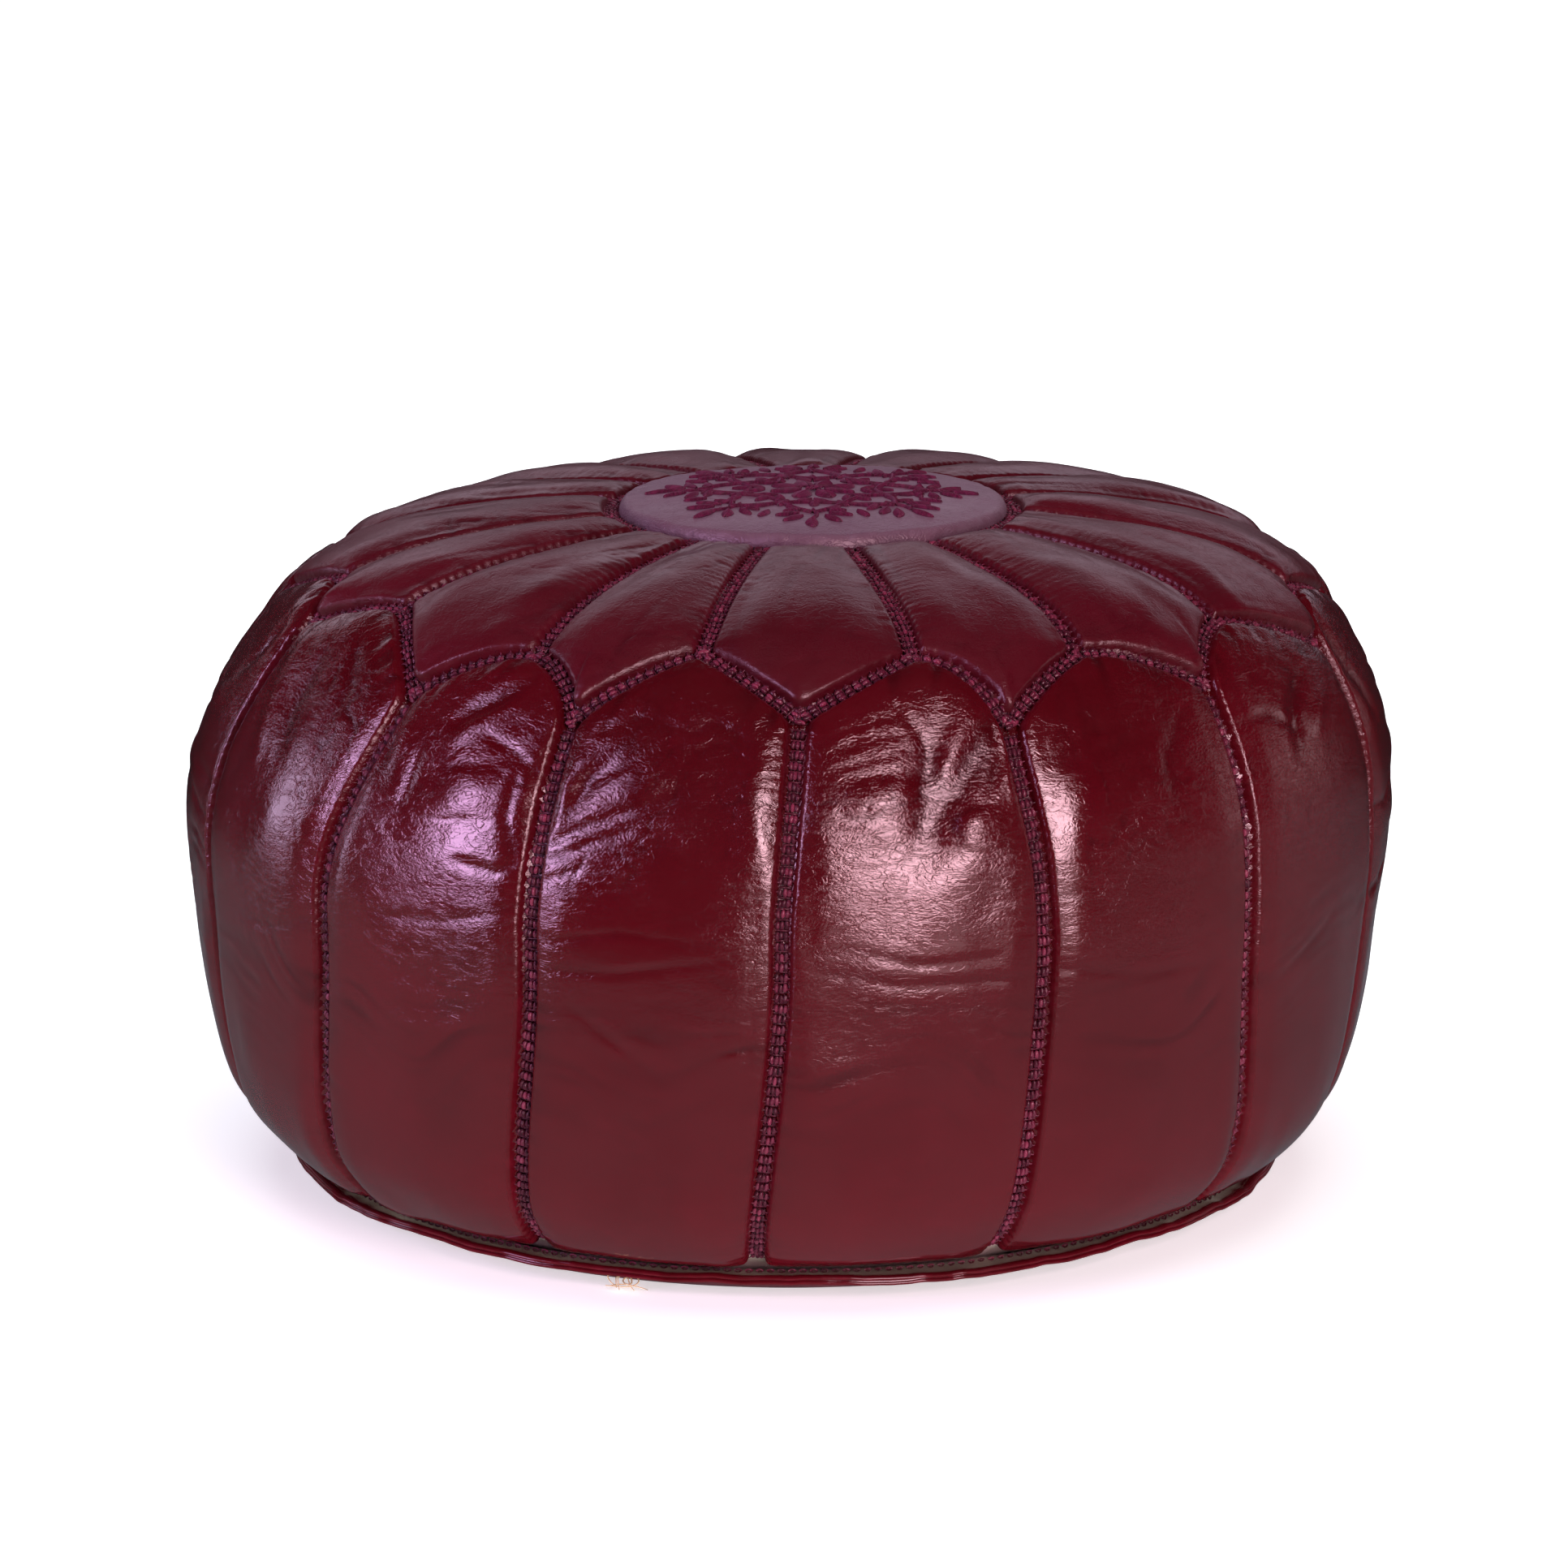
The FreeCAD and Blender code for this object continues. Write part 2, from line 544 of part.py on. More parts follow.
o, h, sl = clamp(ZIP_X0 + 1.0, -0.12 - COIL_W, 0.12 + COIL_W, 4.0)
bottom = o.cut(h).common(Part.makeBox(20, 60, 20, V(ZIP_X0 - 4, -30, TAPE_Z - 0.15 - 20)))
export("zip_bottom_stop", bottom)
dy = splay(ZIP_X1)
tops = []
for sg in (1, -1):
    ya, yb = sorted((sg * (0.12 + dy), sg * (0.12 + dy + COIL_W)))
    o, h, sl = clamp(ZIP_X1 - 4.0, ya, yb, 3.2)
    tops.append(o.cut(h).common(Part.makeBox(20, 60, 20, V(ZIP_X1 - 8, -30, TAPE_Z - 0.15 - 20))))
export("zip_top_stops", Part.Compound(tops))

# slider body: two plates, side flanges that open towards the parting end, and the wedge between them
PL_LOW0, PL_LOW1 = 8.1, 9.4
PL_TOP0, PL_TOP1 = 12.5, 13.6


def plate_outline(grow=0.0):
    half = SLIDER_LEN / 2.0 + grow
    wide, narrow = SLIDER_HALF_W + grow, 4.0 + grow
    pts = [(-half, -narrow + 0.9), (-half + 0.9, -narrow), (-1.0, -narrow), (1.6, -wide), (half - 1.4, -wide),
           (half, -wide + 1.4)]
    return pts + [(x, -y) for x, y in reversed(pts)]


def prism(pts, z0, z1, x=SX):
    ps = [V(x + p[0], p[1], z0) for p in pts]
    return Part.Face(Part.makePolygon(ps + [ps[0]])).extrude(V(0, 0, z1 - z0))


outline = plate_outline()
inner_outline = plate_outline(-0.55)
low_plate = prism(outline, PL_LOW0, PL_LOW1)
top_plate = prism(outline, PL_TOP0, PL_TOP1)
wall = prism(outline, PL_LOW1 - 0.1, PL_TOP0 + 0.1).cut(prism(inner_outline, PL_LOW1 - 1, PL_TOP0 + 1))
wall = wall.cut(Part.makeBox(3.0, 30, 20, V(SX - SLIDER_LEN / 2 - 1, -15, 0)))
wall = wall.cut(Part.makeBox(6.0, 30, 20, V(SX + SLIDER_LEN / 2 - 1.6, -15, 0)))
gap = Part.makeBox(40, 40, TAPE_T + 0.7, V(SX - 20, -20, TAPE_Z - 0.35))
wall = wall.cut(gap)
wedge = prism([(0.6, 0.0), (3.4, -1.55), (6.0, -1.2), (6.0, 1.2), (3.4, 1.55)], PL_LOW1 - 0.1, PL_TOP0 + 0.1)
# bridge that carries the pull: two posts and a bar under the lower plate
PIN_Z = 6.75
bridge = Part.makeBox(9.4, 2.3, 4.4, V(SX - 4.7, -1.15, 3.9))
bridge = bridge.cut(Part.makeBox(6.6, 4, 2.9, V(SX - 3.3, -2, 5.3)))
try:
    vert = [e for e in bridge.Edges if abs(e.CenterOfMass.z - 3.9) < 0.01 and abs(e.tangentAt(e.FirstParameter).y) > 0.9]
    bridge = bridge.makeFillet(1.2, vert)
except Exception as exc:
    print("bridge fillet left out:", exc)
slider = low_plate.fuse([top_plate, wall, wedge, bridge]).removeSplitter()
export("zip_slider", slider)

# pull: a tab with a slot at the root; the cross bar of the slot turns inside the bridge
half_w = PULL_W / 2.0
root = 0.75                                        # cross bar is 1.5 square, centred on the hinge line
tab = Part.makeBox(PULL_LEN + root, PULL_W, PULL_T, V(SX - PULL_LEN, -half_w, PIN_Z - PULL_T / 2))
edge_list = [e for e in tab.Edges if abs(e.Length - PULL_T) < 1e-6]
tip = [e for e in edge_list if e.CenterOfMass.x < SX - PULL_LEN + 0.1]
head = [e for e in edge_list if e.CenterOfMass.x > SX]
tab = tab.makeFillet(2.6, tip)
head = [e for e in tab.Edges if abs(e.Length - PULL_T) < 1e-6 and e.CenterOfMass.x > SX + root - 0.01]
tab = tab.makeFillet(0.7, head)
slot = Part.makeBox(6.6, 3.6, 6, V(SX - root - 6.6, -1.8, PIN_Z - 3))
grip = Part.makeCylinder(1.7, 6, V(SX - PULL_LEN + 4.6, 0, PIN_Z - 3))
pull = tab.cut(slot).cut(grip)
export("zip_pull", pull)


# ---------------------------------------------------------------- lining and filling
def stuffed(offset, floor_z, channel_z, channel_y):
    pts = [(BASE_FLAT_R - offset, floor_z, 1.0), (BASE_FLAT_R + 12.0 - offset, floor_z + 6.5, 1.0)]
    s_end = s_at_radius(70.0)
    count = 26
    for i in range(count):
        s = 32.0 + (s_end - 32.0) * i / (count - 1.0)
        e = 0.5
        dr, dz = prof_r(s + e) - prof_r(s - e), prof_z(s + e) - prof_z(s - e)
        n = math.hypot(dr, dz)
        pts.append((prof_r(s) - offset * dz / n, prof_z(s) + offset * dr / n, lean(s)))
    wires = [Part.Wire(Part.makeCircle(r, V(dx, 0, z))) for r, z, dx in pts]
    body = Part.makeLoft(wires, True, True)
    chan = Part.makeBox(700, 2 * channel_y, channel_z + 20, V(-350, -channel_y, -20))
    return body.cut(chan)


bag_out = stuffed(LINING_OFFSET, T + 1.0, 16.0, 40.0)
bag_in = stuffed(LINING_OFFSET + LINING_T, T + 1.0 + LINING_T, 16.0 + LINING_T, 40.0 + LINING_T)
export("lining", bag_out.cut(bag_in))
export("filling", stuffed(LINING_OFFSET + LINING_T + FILL_GAP, T + 1.0 + LINING_T + FILL_GAP,
                          16.0 + LINING_T + FILL_GAP, 40.0 + LINING_T + FILL_GAP))
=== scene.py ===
"""Round leather pouf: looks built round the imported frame. Millimetres in the helpers, metres in the meshes."""
import bpy
import math
import numpy as np
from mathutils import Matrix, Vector


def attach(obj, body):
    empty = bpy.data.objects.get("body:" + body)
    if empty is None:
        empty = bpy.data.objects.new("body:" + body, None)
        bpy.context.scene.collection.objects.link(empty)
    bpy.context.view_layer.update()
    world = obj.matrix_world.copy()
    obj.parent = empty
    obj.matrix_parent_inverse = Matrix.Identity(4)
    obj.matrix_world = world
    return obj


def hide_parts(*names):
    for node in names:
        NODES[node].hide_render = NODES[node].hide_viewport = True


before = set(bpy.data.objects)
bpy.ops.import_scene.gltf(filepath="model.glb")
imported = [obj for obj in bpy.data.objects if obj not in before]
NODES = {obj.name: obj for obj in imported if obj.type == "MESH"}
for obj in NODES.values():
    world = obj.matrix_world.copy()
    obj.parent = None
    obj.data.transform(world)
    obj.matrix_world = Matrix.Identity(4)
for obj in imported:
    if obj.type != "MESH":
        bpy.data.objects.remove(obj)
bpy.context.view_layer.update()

# ------------------------------------------------------------------ the body's dimensions, as in the CAD source
N = 16
PITCH = 360.0 / N
LEATHER = 2.0
SEAM_DEPTH = 6.0
EDGE = 3.15
BRAID_HALF = 2.75
PROFILE = [(200.0, 0.0), (207.0, 2.0), (211.5, 5.5), (214.0, 9.5), (222.0, 15.5), (230.0, 22.0), (247.0, 45.0),
           (256.0, 80.0), (260.8, 119.0), (263.6, 158.0), (261.8, 184.0), (256.4, 207.0), (240.5, 238.5),
           (221.3, 262.5), (187.0, 280.6), (150.0, 288.3), (110.0, 292.4), (84.0, 293.6), (60.0, 294.4)]
S_VALLEY, S_PEAK, RING_R = 281.0, 312.5, 88.0
MED_R, MED_FLAT, MED_TOP, MED_EDGE = 84.6, 74.0, 297.0, 293.2
LEAN = [(0.0, 0.0), (150.0, -0.7), (185.0, -0.7), (225.0, 2.0), (262.0, 5.0), (300.0, 7.5), (345.0, 10.0), (600.0, 11.0)]
SEAM_BASE = [-3.5, 0.0, 6.0, 6.0, 4.5, 3.0, 1.5, 0.0, -1.5, -3.0, -4.5, -6.0, -7.5, -8.0, -8.0, -5.2]
SEAM_MID = [-0.5, 1.0, 2.0, 5.5, 4.5, 3.4, 2.4, 1.5, 0.6, -0.4, -1.2, -2.0, -2.8, -3.3, -2.3, -1.0]
SEAM_TOP = [-0.55, -1.8, 0.7, 3.6, 3.3, 2.8, 2.2, 1.5, 1.0, 0.6, 0.2, -0.4, -1.2, -2.3, 1.4, -1.15]
RADIAL_OUT = [0.35, -2.5, -2.4, -0.75, 0.0, 0.5, 1.0, 1.5, 1.5, 1.5, 1.5, 1.5, 1.8, -0.2, 2.35, -1.0]
RADIAL_IN = [-1.2, -1.2, 2.6, 6.0, 8.0, 9.5, 7.5, 2.5, 0.3, -0.8, -3.0, -4.5, 1.5, 1.2, 0.3, -2.6]
VALLEY_RISE = [0.0, -6.8, -3.2, -5.2, -3.0, 0.0, -2.0, -1.0, 1.0, -2.0, 0.0, 1.5, 4.0, 8.0, -5.5, -5.5]
PEAK_RISE = [-0.5, -6.5, -4.5, -8.0, -4.0, -2.0, -3.0, -1.0, -2.0, -3.0, -1.0, -1.0, 0.5, 2.0, -7.8, 1.2]
ARCH_LEFT = [1.2, 1.2, 1.5, 1.5, 1.4, 1.5, 1.3, 1.5, 1.4, 1.5, 1.3, 1.5, 1.4, 1.6, 1.9, 1.3]
ARCH_RIGHT = [1.9, 1.9, 1.6, 1.5, 1.5, 1.4, 1.5, 1.3, 1.6, 1.4, 1.5, 1.6, 1.4, 1.4, 1.6, 1.2]


class Monotone:
    """Monotone cubic through points, for arrays."""

    def __init__(self, xs, ys):
        xs, ys = np.array(xs, float), np.array(ys, float)
        h = np.diff(xs)
        d = np.diff(ys) / h
        m = np.zeros(len(xs))
        m[0], m[-1] = d[0], d[-1]
        for i in range(1, len(xs) - 1):
            if d[i - 1] * d[i] > 0:
                w1, w2 = 2 * h[i] + h[i - 1], h[i] + 2 * h[i - 1]
                m[i] = (w1 + w2) / (w1 / d[i - 1] + w2 / d[i])
        self.xs, self.ys, self.m, self.h = xs, ys, m, h

    def __call__(self, x):
        x = np.asarray(x, float)
        xs, ys, m, h = self.xs, self.ys, self.m, self.h
        i = np.clip(np.searchsorted(xs, x, side="right") - 1, 0, len(xs) - 2)
        t = (x - xs[i]) / h[i]
        t2, t3 = t * t, t * t * t
        mid = ((2 * t3 - 3 * t2 + 1) * ys[i] + (t3 - 2 * t2 + t) * h[i] * m[i]
               + (3 * t2 - 2 * t3) * ys[i + 1] + (t3 - t2) * h[i] * m[i + 1])
        lo, hi = ys[0] + m[0] * (x - xs[0]), ys[-1] + m[-1] * (x - xs[-1])
        return np.where(x <= xs[0], lo, np.where(x >= xs[-1], hi, mid))


S_KNOTS = [0.0]
for (ra, za), (rb, zb) in zip(PROFILE, PROFILE[1:]):
    S_KNOTS.append(S_KNOTS[-1] + math.hypot(rb - ra, zb - za))
# the knots softened into one smooth line
_prof_r = Monotone(S_KNOTS, [p[0] for p in PROFILE])
_prof_z = Monotone(S_KNOTS, [p[1] for p in PROFILE])
_lean = Monotone([p[0] for p in LEAN], [p[1] for p in LEAN])
_ss = np.arange(-20.0, S_KNOTS[-1] + 30.0, 1.0)


def _soft(values, width=9):
    k = np.hanning(2 * width + 1)
    k /= k.sum()
    pad = np.concatenate([2 * values[0] - values[width:0:-1], values, 2 * values[-1] - values[-2:-width - 2:-1]])
    return np.convolve(pad, k, mode="valid")


_rs, _zs, _ls = _soft(_prof_r(_ss)), _soft(_prof_z(_ss)), _soft(_lean(_ss))
_near = np.clip((_ss - 20.0) / 25.0, 0, 1)
_rs = _rs * _near + _prof_r(_ss) * (1 - _near)
_zs = _zs * _near + _prof_z(_ss) * (1 - _near)


def prof_r(s):
    return np.interp(s, _ss, _rs)


def prof_z(s):
    return np.interp(s, _ss, _zs)


def lean(s):
    return np.interp(s, _ss, _ls)


S_WELT = S_KNOTS[3]


def s_at_radius(r_want):
    lo, hi = 200.0, S_KNOTS[-1]
    for _ in range(60):
        mid = 0.5 * (lo + hi)
        if _prof_r(mid) > r_want:
            lo = mid
        else:
            hi = mid
    return 0.5 * (lo + hi)


S_RING = s_at_radius(RING_R)
RING_X = float(_lean(S_RING))


def smooth(t):
    t = np.clip(t, 0.0, 1.0)
    return t * t * (3 - 2 * t)


def surface(theta, s, off):
    theta, s, off = np.broadcast_arrays(np.asarray(theta, float), np.asarray(s, float), np.asarray(off, float))
    e = 1.0
    dr, dz = prof_r(s + e) - prof_r(s - e), prof_z(s + e) - prof_z(s - e)
    n = np.hypot(dr, dz)
    r = prof_r(s) + off * dz / n
    z = prof_z(s) - off * dr / n
    a = np.radians(theta)
    return np.stack([r * np.sin(a) + lean(s), -r * np.cos(a), z], -1)


def seam_angle(k, s):
    s = np.asarray(s, float)
    i = k % N
    t1 = smooth((s - 10.0) / 170.0)
    t2 = smooth((s - 180.0) / (S_VALLEY - 180.0))
    off = np.where(s < 180.0, SEAM_BASE[i] + (SEAM_MID[i] - SEAM_BASE[i]) * t1,
                   SEAM_MID[i] + (SEAM_TOP[i] - SEAM_MID[i]) * t2)
    return PITCH * k + off


def radial_angle(k, s):
    i = k % N
    t = np.clip((np.asarray(s, float) - S_PEAK) / (S_RING - S_PEAK), -0.3, 1.0)
    return PITCH * (k + 0.5) + RADIAL_OUT[i] + (RADIAL_IN[i] - RADIAL_OUT[i]) * t


def arch(k, u):
    u = np.asarray(u, float)
    i, j = k % N, (k + 1) % N
    peak = S_PEAK + PEAK_RISE[i]
    low = np.where(u < 0.5, S_VALLEY + VALLEY_RISE[i], S_VALLEY + VALLEY_RISE[j])
    power = np.where(u < 0.5, ARCH_LEFT[i], ARCH_RIGHT[i])
    s = low + (peak - low) * (1 - np.abs(2 * u - 1) ** power)
    a, b = float(seam_angle(k, 400.0)), float(seam_angle(k + 1, 400.0))
    c = (PITCH * (k + 0.5) + RADIAL_OUT[i] - a) / (b - a) - 0.5
    return a + (b - a) * (u + 4 * c * u * (1 - u)), s


# ------------------------------------------------------------------ seeded noise
def _hash(ix, iy, seed):
    h = (ix.astype(np.int64) * 374761393 + iy.astype(np.int64) * 668265263 + seed * 974634777) & 0xFFFFFFFF
    h = ((h ^ (h >> 13)) * 1274126177) & 0xFFFFFFFF
    h = ((h ^ (h >> 16)) * 2246822519) & 0xFFFFFFFF
    return ((h ^ (h >> 15)) & 0xFFFFFF) / float(0xFFFFFF) * 2 - 1


def noise(x, y, seed=0):
    """Smooth value noise, about -1 to 1."""
    x, y = np.broadcast_arrays(np.asarray(x, float), np.asarray(y, float))
    ix, iy = np.floor(x), np.floor(y)
    fx, fy = x - ix, y - iy
    fx, fy = fx ** 3 * (fx * (6 * fx - 15) + 10), fy ** 3 * (fy * (6 * fy - 15) + 10)
    a, b = _hash(ix, iy, seed), _hash(ix + 1, iy, seed)
    c, d = _hash(ix, iy + 1, seed), _hash(ix + 1, iy + 1, seed)
    return (a * (1 - fx) + b * fx) * (1 - fy) + (c * (1 - fx) + d * fx) * fy


def fbm(x, y, seed=0, octaves=3, gain=0.5):
    total, amp = 0.0, 1.0
    for o in range(octaves):
        total = total + amp * noise(x * 2 ** o + 17.3 * o, y * 2 ** o - 9.1 * o, seed + 31 * o)
        amp *= gain
    return total


def crease(x, y, seed, sharp=0.10):
    """Thin valleys along the zero lines of noise: 1 on a line, fading to 0."""
    n = noise(x, y, seed) + 0.45 * noise(2.1 * x, 2.1 * y, seed + 5)
    return np.exp(-(n / sharp) ** 2)


# ------------------------------------------------------------------ mesh helpers
def make_mesh(name, verts_mm, faces, attrs=None, smooth_shade=True, material=None):
    """faces: list of integer arrays, each (count, corners)."""
    me = bpy.data.meshes.new(name)
    v = np.asarray(verts_mm, np.float32).reshape(-1, 3) * 0.001
    me.vertices.add(len(v))
    me.vertices.foreach_set("co", v.ravel())
    loops = np.concatenate([np.asarray(f, np.int32).ravel() for f in faces])
    sizes = np.concatenate([np.full(len(f), np.asarray(f).shape[1], np.int32) for f in faces])
    starts = np.concatenate([[0], np.cumsum(sizes)[:-1]]).astype(np.int32)
    me.loops.add(len(loops))
    me.loops.foreach_set("vertex_index", loops)
    me.polygons.add(len(sizes))
    me.polygons.foreach_set("loop_start", starts)
    me.polygons.foreach_set("use_smooth", np.full(len(sizes), smooth_shade, bool))
    me.update(calc_edges=True)
    me.validate()
    for key, values in (attrs or {}).items():
        at = me.attributes.new(key, "FLOAT", "POINT")
        at.data.foreach_set("value", np.asarray(values, np.float32).ravel())
    if material is not None:
        me.materials.append(material)
    o = bpy.data.objects.new(name, me)
    bpy.context.scene.collection.objects.link(o)
    return o


def grid_quads(nu, nv, base=0, flip=False, wrap_u=False, wrap_v=False):
    """Quads of a grid stored as index = i * nv + j."""
    iu = np.arange(nu if wrap_u else nu - 1)
    iv = np.arange(nv if wrap_v else nv - 1)
    i, j = np.meshgrid(iu, iv, indexing="ij")
    i, j = i.ravel(), j.ravel()
    i1, j1 = (i + 1) % nu, (j + 1) % nv
    q = np.stack([i * nv + j, i1 * nv + j, i1 * nv + j1, i * nv + j1], 1) + base
    return q[:, ::-1] if flip else q


def closed_panel(outer, inner_fn, step=4):
    """Closed shell: fine outer grid (nu, nv, 3), coarse inner grid from inner_fn(outer subset indices)."""
    nu, nv = outer.shape[:2]
    inner = inner_fn[::step, ::step]
    mu, mv = inner.shape[:2]
    verts = np.concatenate([outer.reshape(-1, 3), inner.reshape(-1, 3)])
    b = nu * nv
    faces = [grid_quads(nu, nv), grid_quads(mu, mv, base=b, flip=True)]
    rim = []
    def o(i, j):
        return i * nv + j
    def q(i, j):
        return b + i * mv + j
    for c in range(mu - 1):
        fine = [o(c * step + t, 0) for t in range(step + 1)]
        rim.append(fine[::-1] + [q(c, 0), q(c + 1, 0)])
        fine = [o(c * step + t, nv - 1) for t in range(step + 1)]
        rim.append(fine + [q(c + 1, mv - 1), q(c, mv - 1)])
    for c in range(mv - 1):
        fine = [o(0, c * step + t) for t in range(step + 1)]
        rim.append(fine + [q(0, c + 1), q(0, c)])
        fine = [o(nu - 1, c * step + t) for t in range(step + 1)]
        rim.append(fine[::-1] + [q(mu - 1, c), q(mu - 1, c + 1)])
    faces.append(np.array(rim))
    return verts, faces


class Builder:
    """Gathers many small closed forms into one mesh."""

    def __init__(self):
        self.v, self.f, self.n, self.tone_and_painted_light = [], [], 0, []

    def settle(self, drop):
        for v in self.v:
            v[:, 2] -= drop(v)

    def add(self, verts, quads, tone_and_painted_light=0.0):
        self.v.append(verts.reshape(-1, 3))
        self.f.append(quads + self.n)
        self.tone_and_painted_light.append(np.full(verts.reshape(-1, 3).shape[0], tone_and_painted_light) if np.isscalar(tone_and_painted_light) else np.asarray(tone_and_painted_light).ravel())
        self.n += verts.reshape(-1, 3).shape[0]

    def build(self, name, material):
        tris = [f for f in self.f if f.shape[1] == 3]
        quads = [f for f in self.f if f.shape[1] == 4]
        faces = ([np.concatenate(quads)] if quads else []) + ([np.concatenate(tris)] if tris else [])
        return make_mesh(name, np.concatenate(self.v), faces, {"tone_and_painted_light": np.concatenate(self.tone_and_painted_light)}, material=material)


def tube(points, radius, sides=6, flat=1.0, up=None, cap=True):
    """Tube round a polyline (mm) with rounded ends; radius a number or one per point. Returns verts, quads."""
    p = np.asarray(points, float)
    n = len(p)
    r = np.full(n, radius, float) if np.isscalar(radius) else np.asarray(radius, float)
    t = np.gradient(p, axis=0)
    t /= np.linalg.norm(t, axis=1)[:, None] + 1e-12
    ref = np.array([0.0, 0.0, 1.0]) if up is None else np.asarray(up, float)
    side = np.cross(t, np.broadcast_to(ref, t.shape))
    ln = np.linalg.norm(side, axis=1)
    bad = ln < 1e-3
    side[bad] = np.cross(t[bad], [1.0, 0.0, 0.0])
    side /= np.linalg.norm(side, axis=1)[:, None] + 1e-12
    nor = np.cross(side, t)
    a = np.arange(sides) * 2 * np.pi / sides
    ring = (side[:, None, :] * np.cos(a)[None, :, None] + nor[:, None, :] * (flat * np.sin(a))[None, :, None])
    v = p[:, None, :] + ring * r[:, None, None]
    quads = grid_quads(n, sides, wrap_v=True, flip=True)
    if cap:
        c0, c1 = p[0] - t[0] * r[0] * 0.4, p[-1] + t[-1] * r[-1] * 0.4
        v = np.concatenate([v.reshape(-1, 3), [c0, c1]])
        k = np.arange(sides)
        k1 = (k + 1) % sides
        i0, i1 = n * sides, n * sides + 1
        f0 = np.stack([np.full(sides, i0), k, k1], 1)
        f1 = np.stack([np.full(sides, i1), (n - 1) * sides + k1, (n - 1) * sides + k], 1)
        return v, quads, np.concatenate([f0, f1])
    return v.reshape(-1, 3), quads, None


def add_tube(b, points, radius, sides=6, flat=1.0, up=None, tone_and_painted_light=0.0):
    v, q, t = tube(points, radius, sides, flat, up)
    base = b.n
    b.add(v, q, tone_and_painted_light)
    if t is not None:
        b.f.append(t + base)


# ------------------------------------------------------------------ materials
class Mat:
    def __init__(self, name):
        self.m = bpy.data.materials.new(name)
        self.m.use_nodes = True
        self.t = self.m.node_tree
        self.t.nodes.clear()
        self.out = self.t.nodes.new("ShaderNodeOutputMaterial")
        self.p = self.t.nodes.new("ShaderNodeBsdfPrincipled")
        self.t.links.new(self.p.outputs[0], self.out.inputs[0])
        self.obj = self.t.nodes.new("ShaderNodeTexCoord").outputs["Object"]

    def n(self, kind, **props):
        node = self.t.nodes.new(kind)
        for k, v in props.items():
            setattr(node, k, v)
        return node

    def put(self, socket, value):
        if hasattr(value, "is_linked") or hasattr(value, "links"):
            self.t.links.new(value, socket)
        else:
            socket.default_value = value

    def set(self, name, value):
        self.put(self.p.inputs[name], value)

    def mapping(self, scale=(1, 1, 1), loc=(0, 0, 0), rot=(0, 0, 0), src=None):
        m = self.n("ShaderNodeMapping")
        self.put(m.inputs["Vector"], src if src is not None else self.obj)
        m.inputs["Scale"].default_value = scale
        m.inputs["Location"].default_value = loc
        m.inputs["Rotation"].default_value = rot
        return m.outputs[0]

    def warped(self, amount, scale):
        """Object coordinates pushed about by noise, so that cells aren't straight sided."""
        k = self.n("ShaderNodeTexNoise")
        self.put(k.inputs["Vector"], self.obj)
        k.inputs["Scale"].default_value = scale
        k.inputs["Detail"].default_value = 1.0
        sc = self.n("ShaderNodeVectorMath", operation="SCALE")
        self.put(sc.inputs[0], k.outputs["Color"])
        sc.inputs["Scale"].default_value = amount
        ad = self.n("ShaderNodeVectorMath", operation="ADD")
        self.put(ad.inputs[0], self.obj)
        self.put(ad.inputs[1], sc.outputs[0])
        return ad.outputs[0]

    def noise(self, scale, detail=3.0, rough=0.55, distort=0.0, vec=None):
        k = self.n("ShaderNodeTexNoise")
        self.put(k.inputs["Vector"], vec if vec is not None else self.obj)
        k.inputs["Scale"].default_value = scale
        k.inputs["Detail"].default_value = detail
        k.inputs["Roughness"].default_value = rough
        k.inputs["Distortion"].default_value = distort
        return k.outputs["Fac"]

    def voronoi(self, scale, feature="F1", vec=None, out="Distance", randomness=1.0):
        k = self.n("ShaderNodeTexVoronoi", feature=feature)
        self.put(k.inputs["Vector"], vec if vec is not None else self.obj)
        k.inputs["Scale"].default_value = scale
        k.inputs["Randomness"].default_value = randomness
        return k.outputs[out]

    def wave(self, scale, distort=0.0, direction="X", vec=None, profile="SIN", dscale=1.0):
        k = self.n("ShaderNodeTexWave", bands_direction=direction, wave_profile=profile)
        self.put(k.inputs["Vector"], vec if vec is not None else self.obj)
        k.inputs["Scale"].default_value = scale
        k.inputs["Distortion"].default_value = distort
        k.inputs["Detail Scale"].default_value = dscale
        return k.outputs["Fac"]

    def ramp(self, value, stops):
        k = self.n("ShaderNodeValToRGB")
        self.put(k.inputs[0], value)
        e = k.color_ramp.elements
        e[0].position, e[0].color = stops[0][0], stops[0][1]
        e[1].position, e[1].color = stops[-1][0], stops[-1][1]
        for pos, col in stops[1:-1]:
            x = e.new(pos)
            x.color = col
        return k.outputs[0]

    def remap(self, value, a, b, c, d):
        k = self.n("ShaderNodeMapRange")
        self.put(k.inputs[0], value)
        for i, x in enumerate((a, b, c, d)):
            k.inputs[1 + i].default_value = x
        return k.outputs[0]

    def math(self, op, a, b=0.0):
        k = self.n("ShaderNodeMath", operation=op)
        self.put(k.inputs[0], a)
        self.put(k.inputs[1], b)
        return k.outputs[0]

    def mix(self, fac, a, b, blend="MIX"):
        k = self.n("ShaderNodeMix", data_type="RGBA", blend_type=blend)
        self.put(k.inputs[0], fac)
        self.put(k.inputs[6], a)
        self.put(k.inputs[7], b)
        return k.outputs[2]

    def bump(self, height, strength, distance, normal=None):
        k = self.n("ShaderNodeBump")
        k.inputs["Strength"].default_value = strength
        k.inputs["Distance"].default_value = distance
        self.put(k.inputs["Height"], height)
        if normal is not None:
            self.put(k.inputs["Normal"], normal)
        return k.outputs[0]

    def attr(self, name):
        k = self.n("ShaderNodeAttribute", attribute_name=name)
        return k.outputs["Fac"]


def rgba(r, g, b):
    return (r, g, b, 1.0)


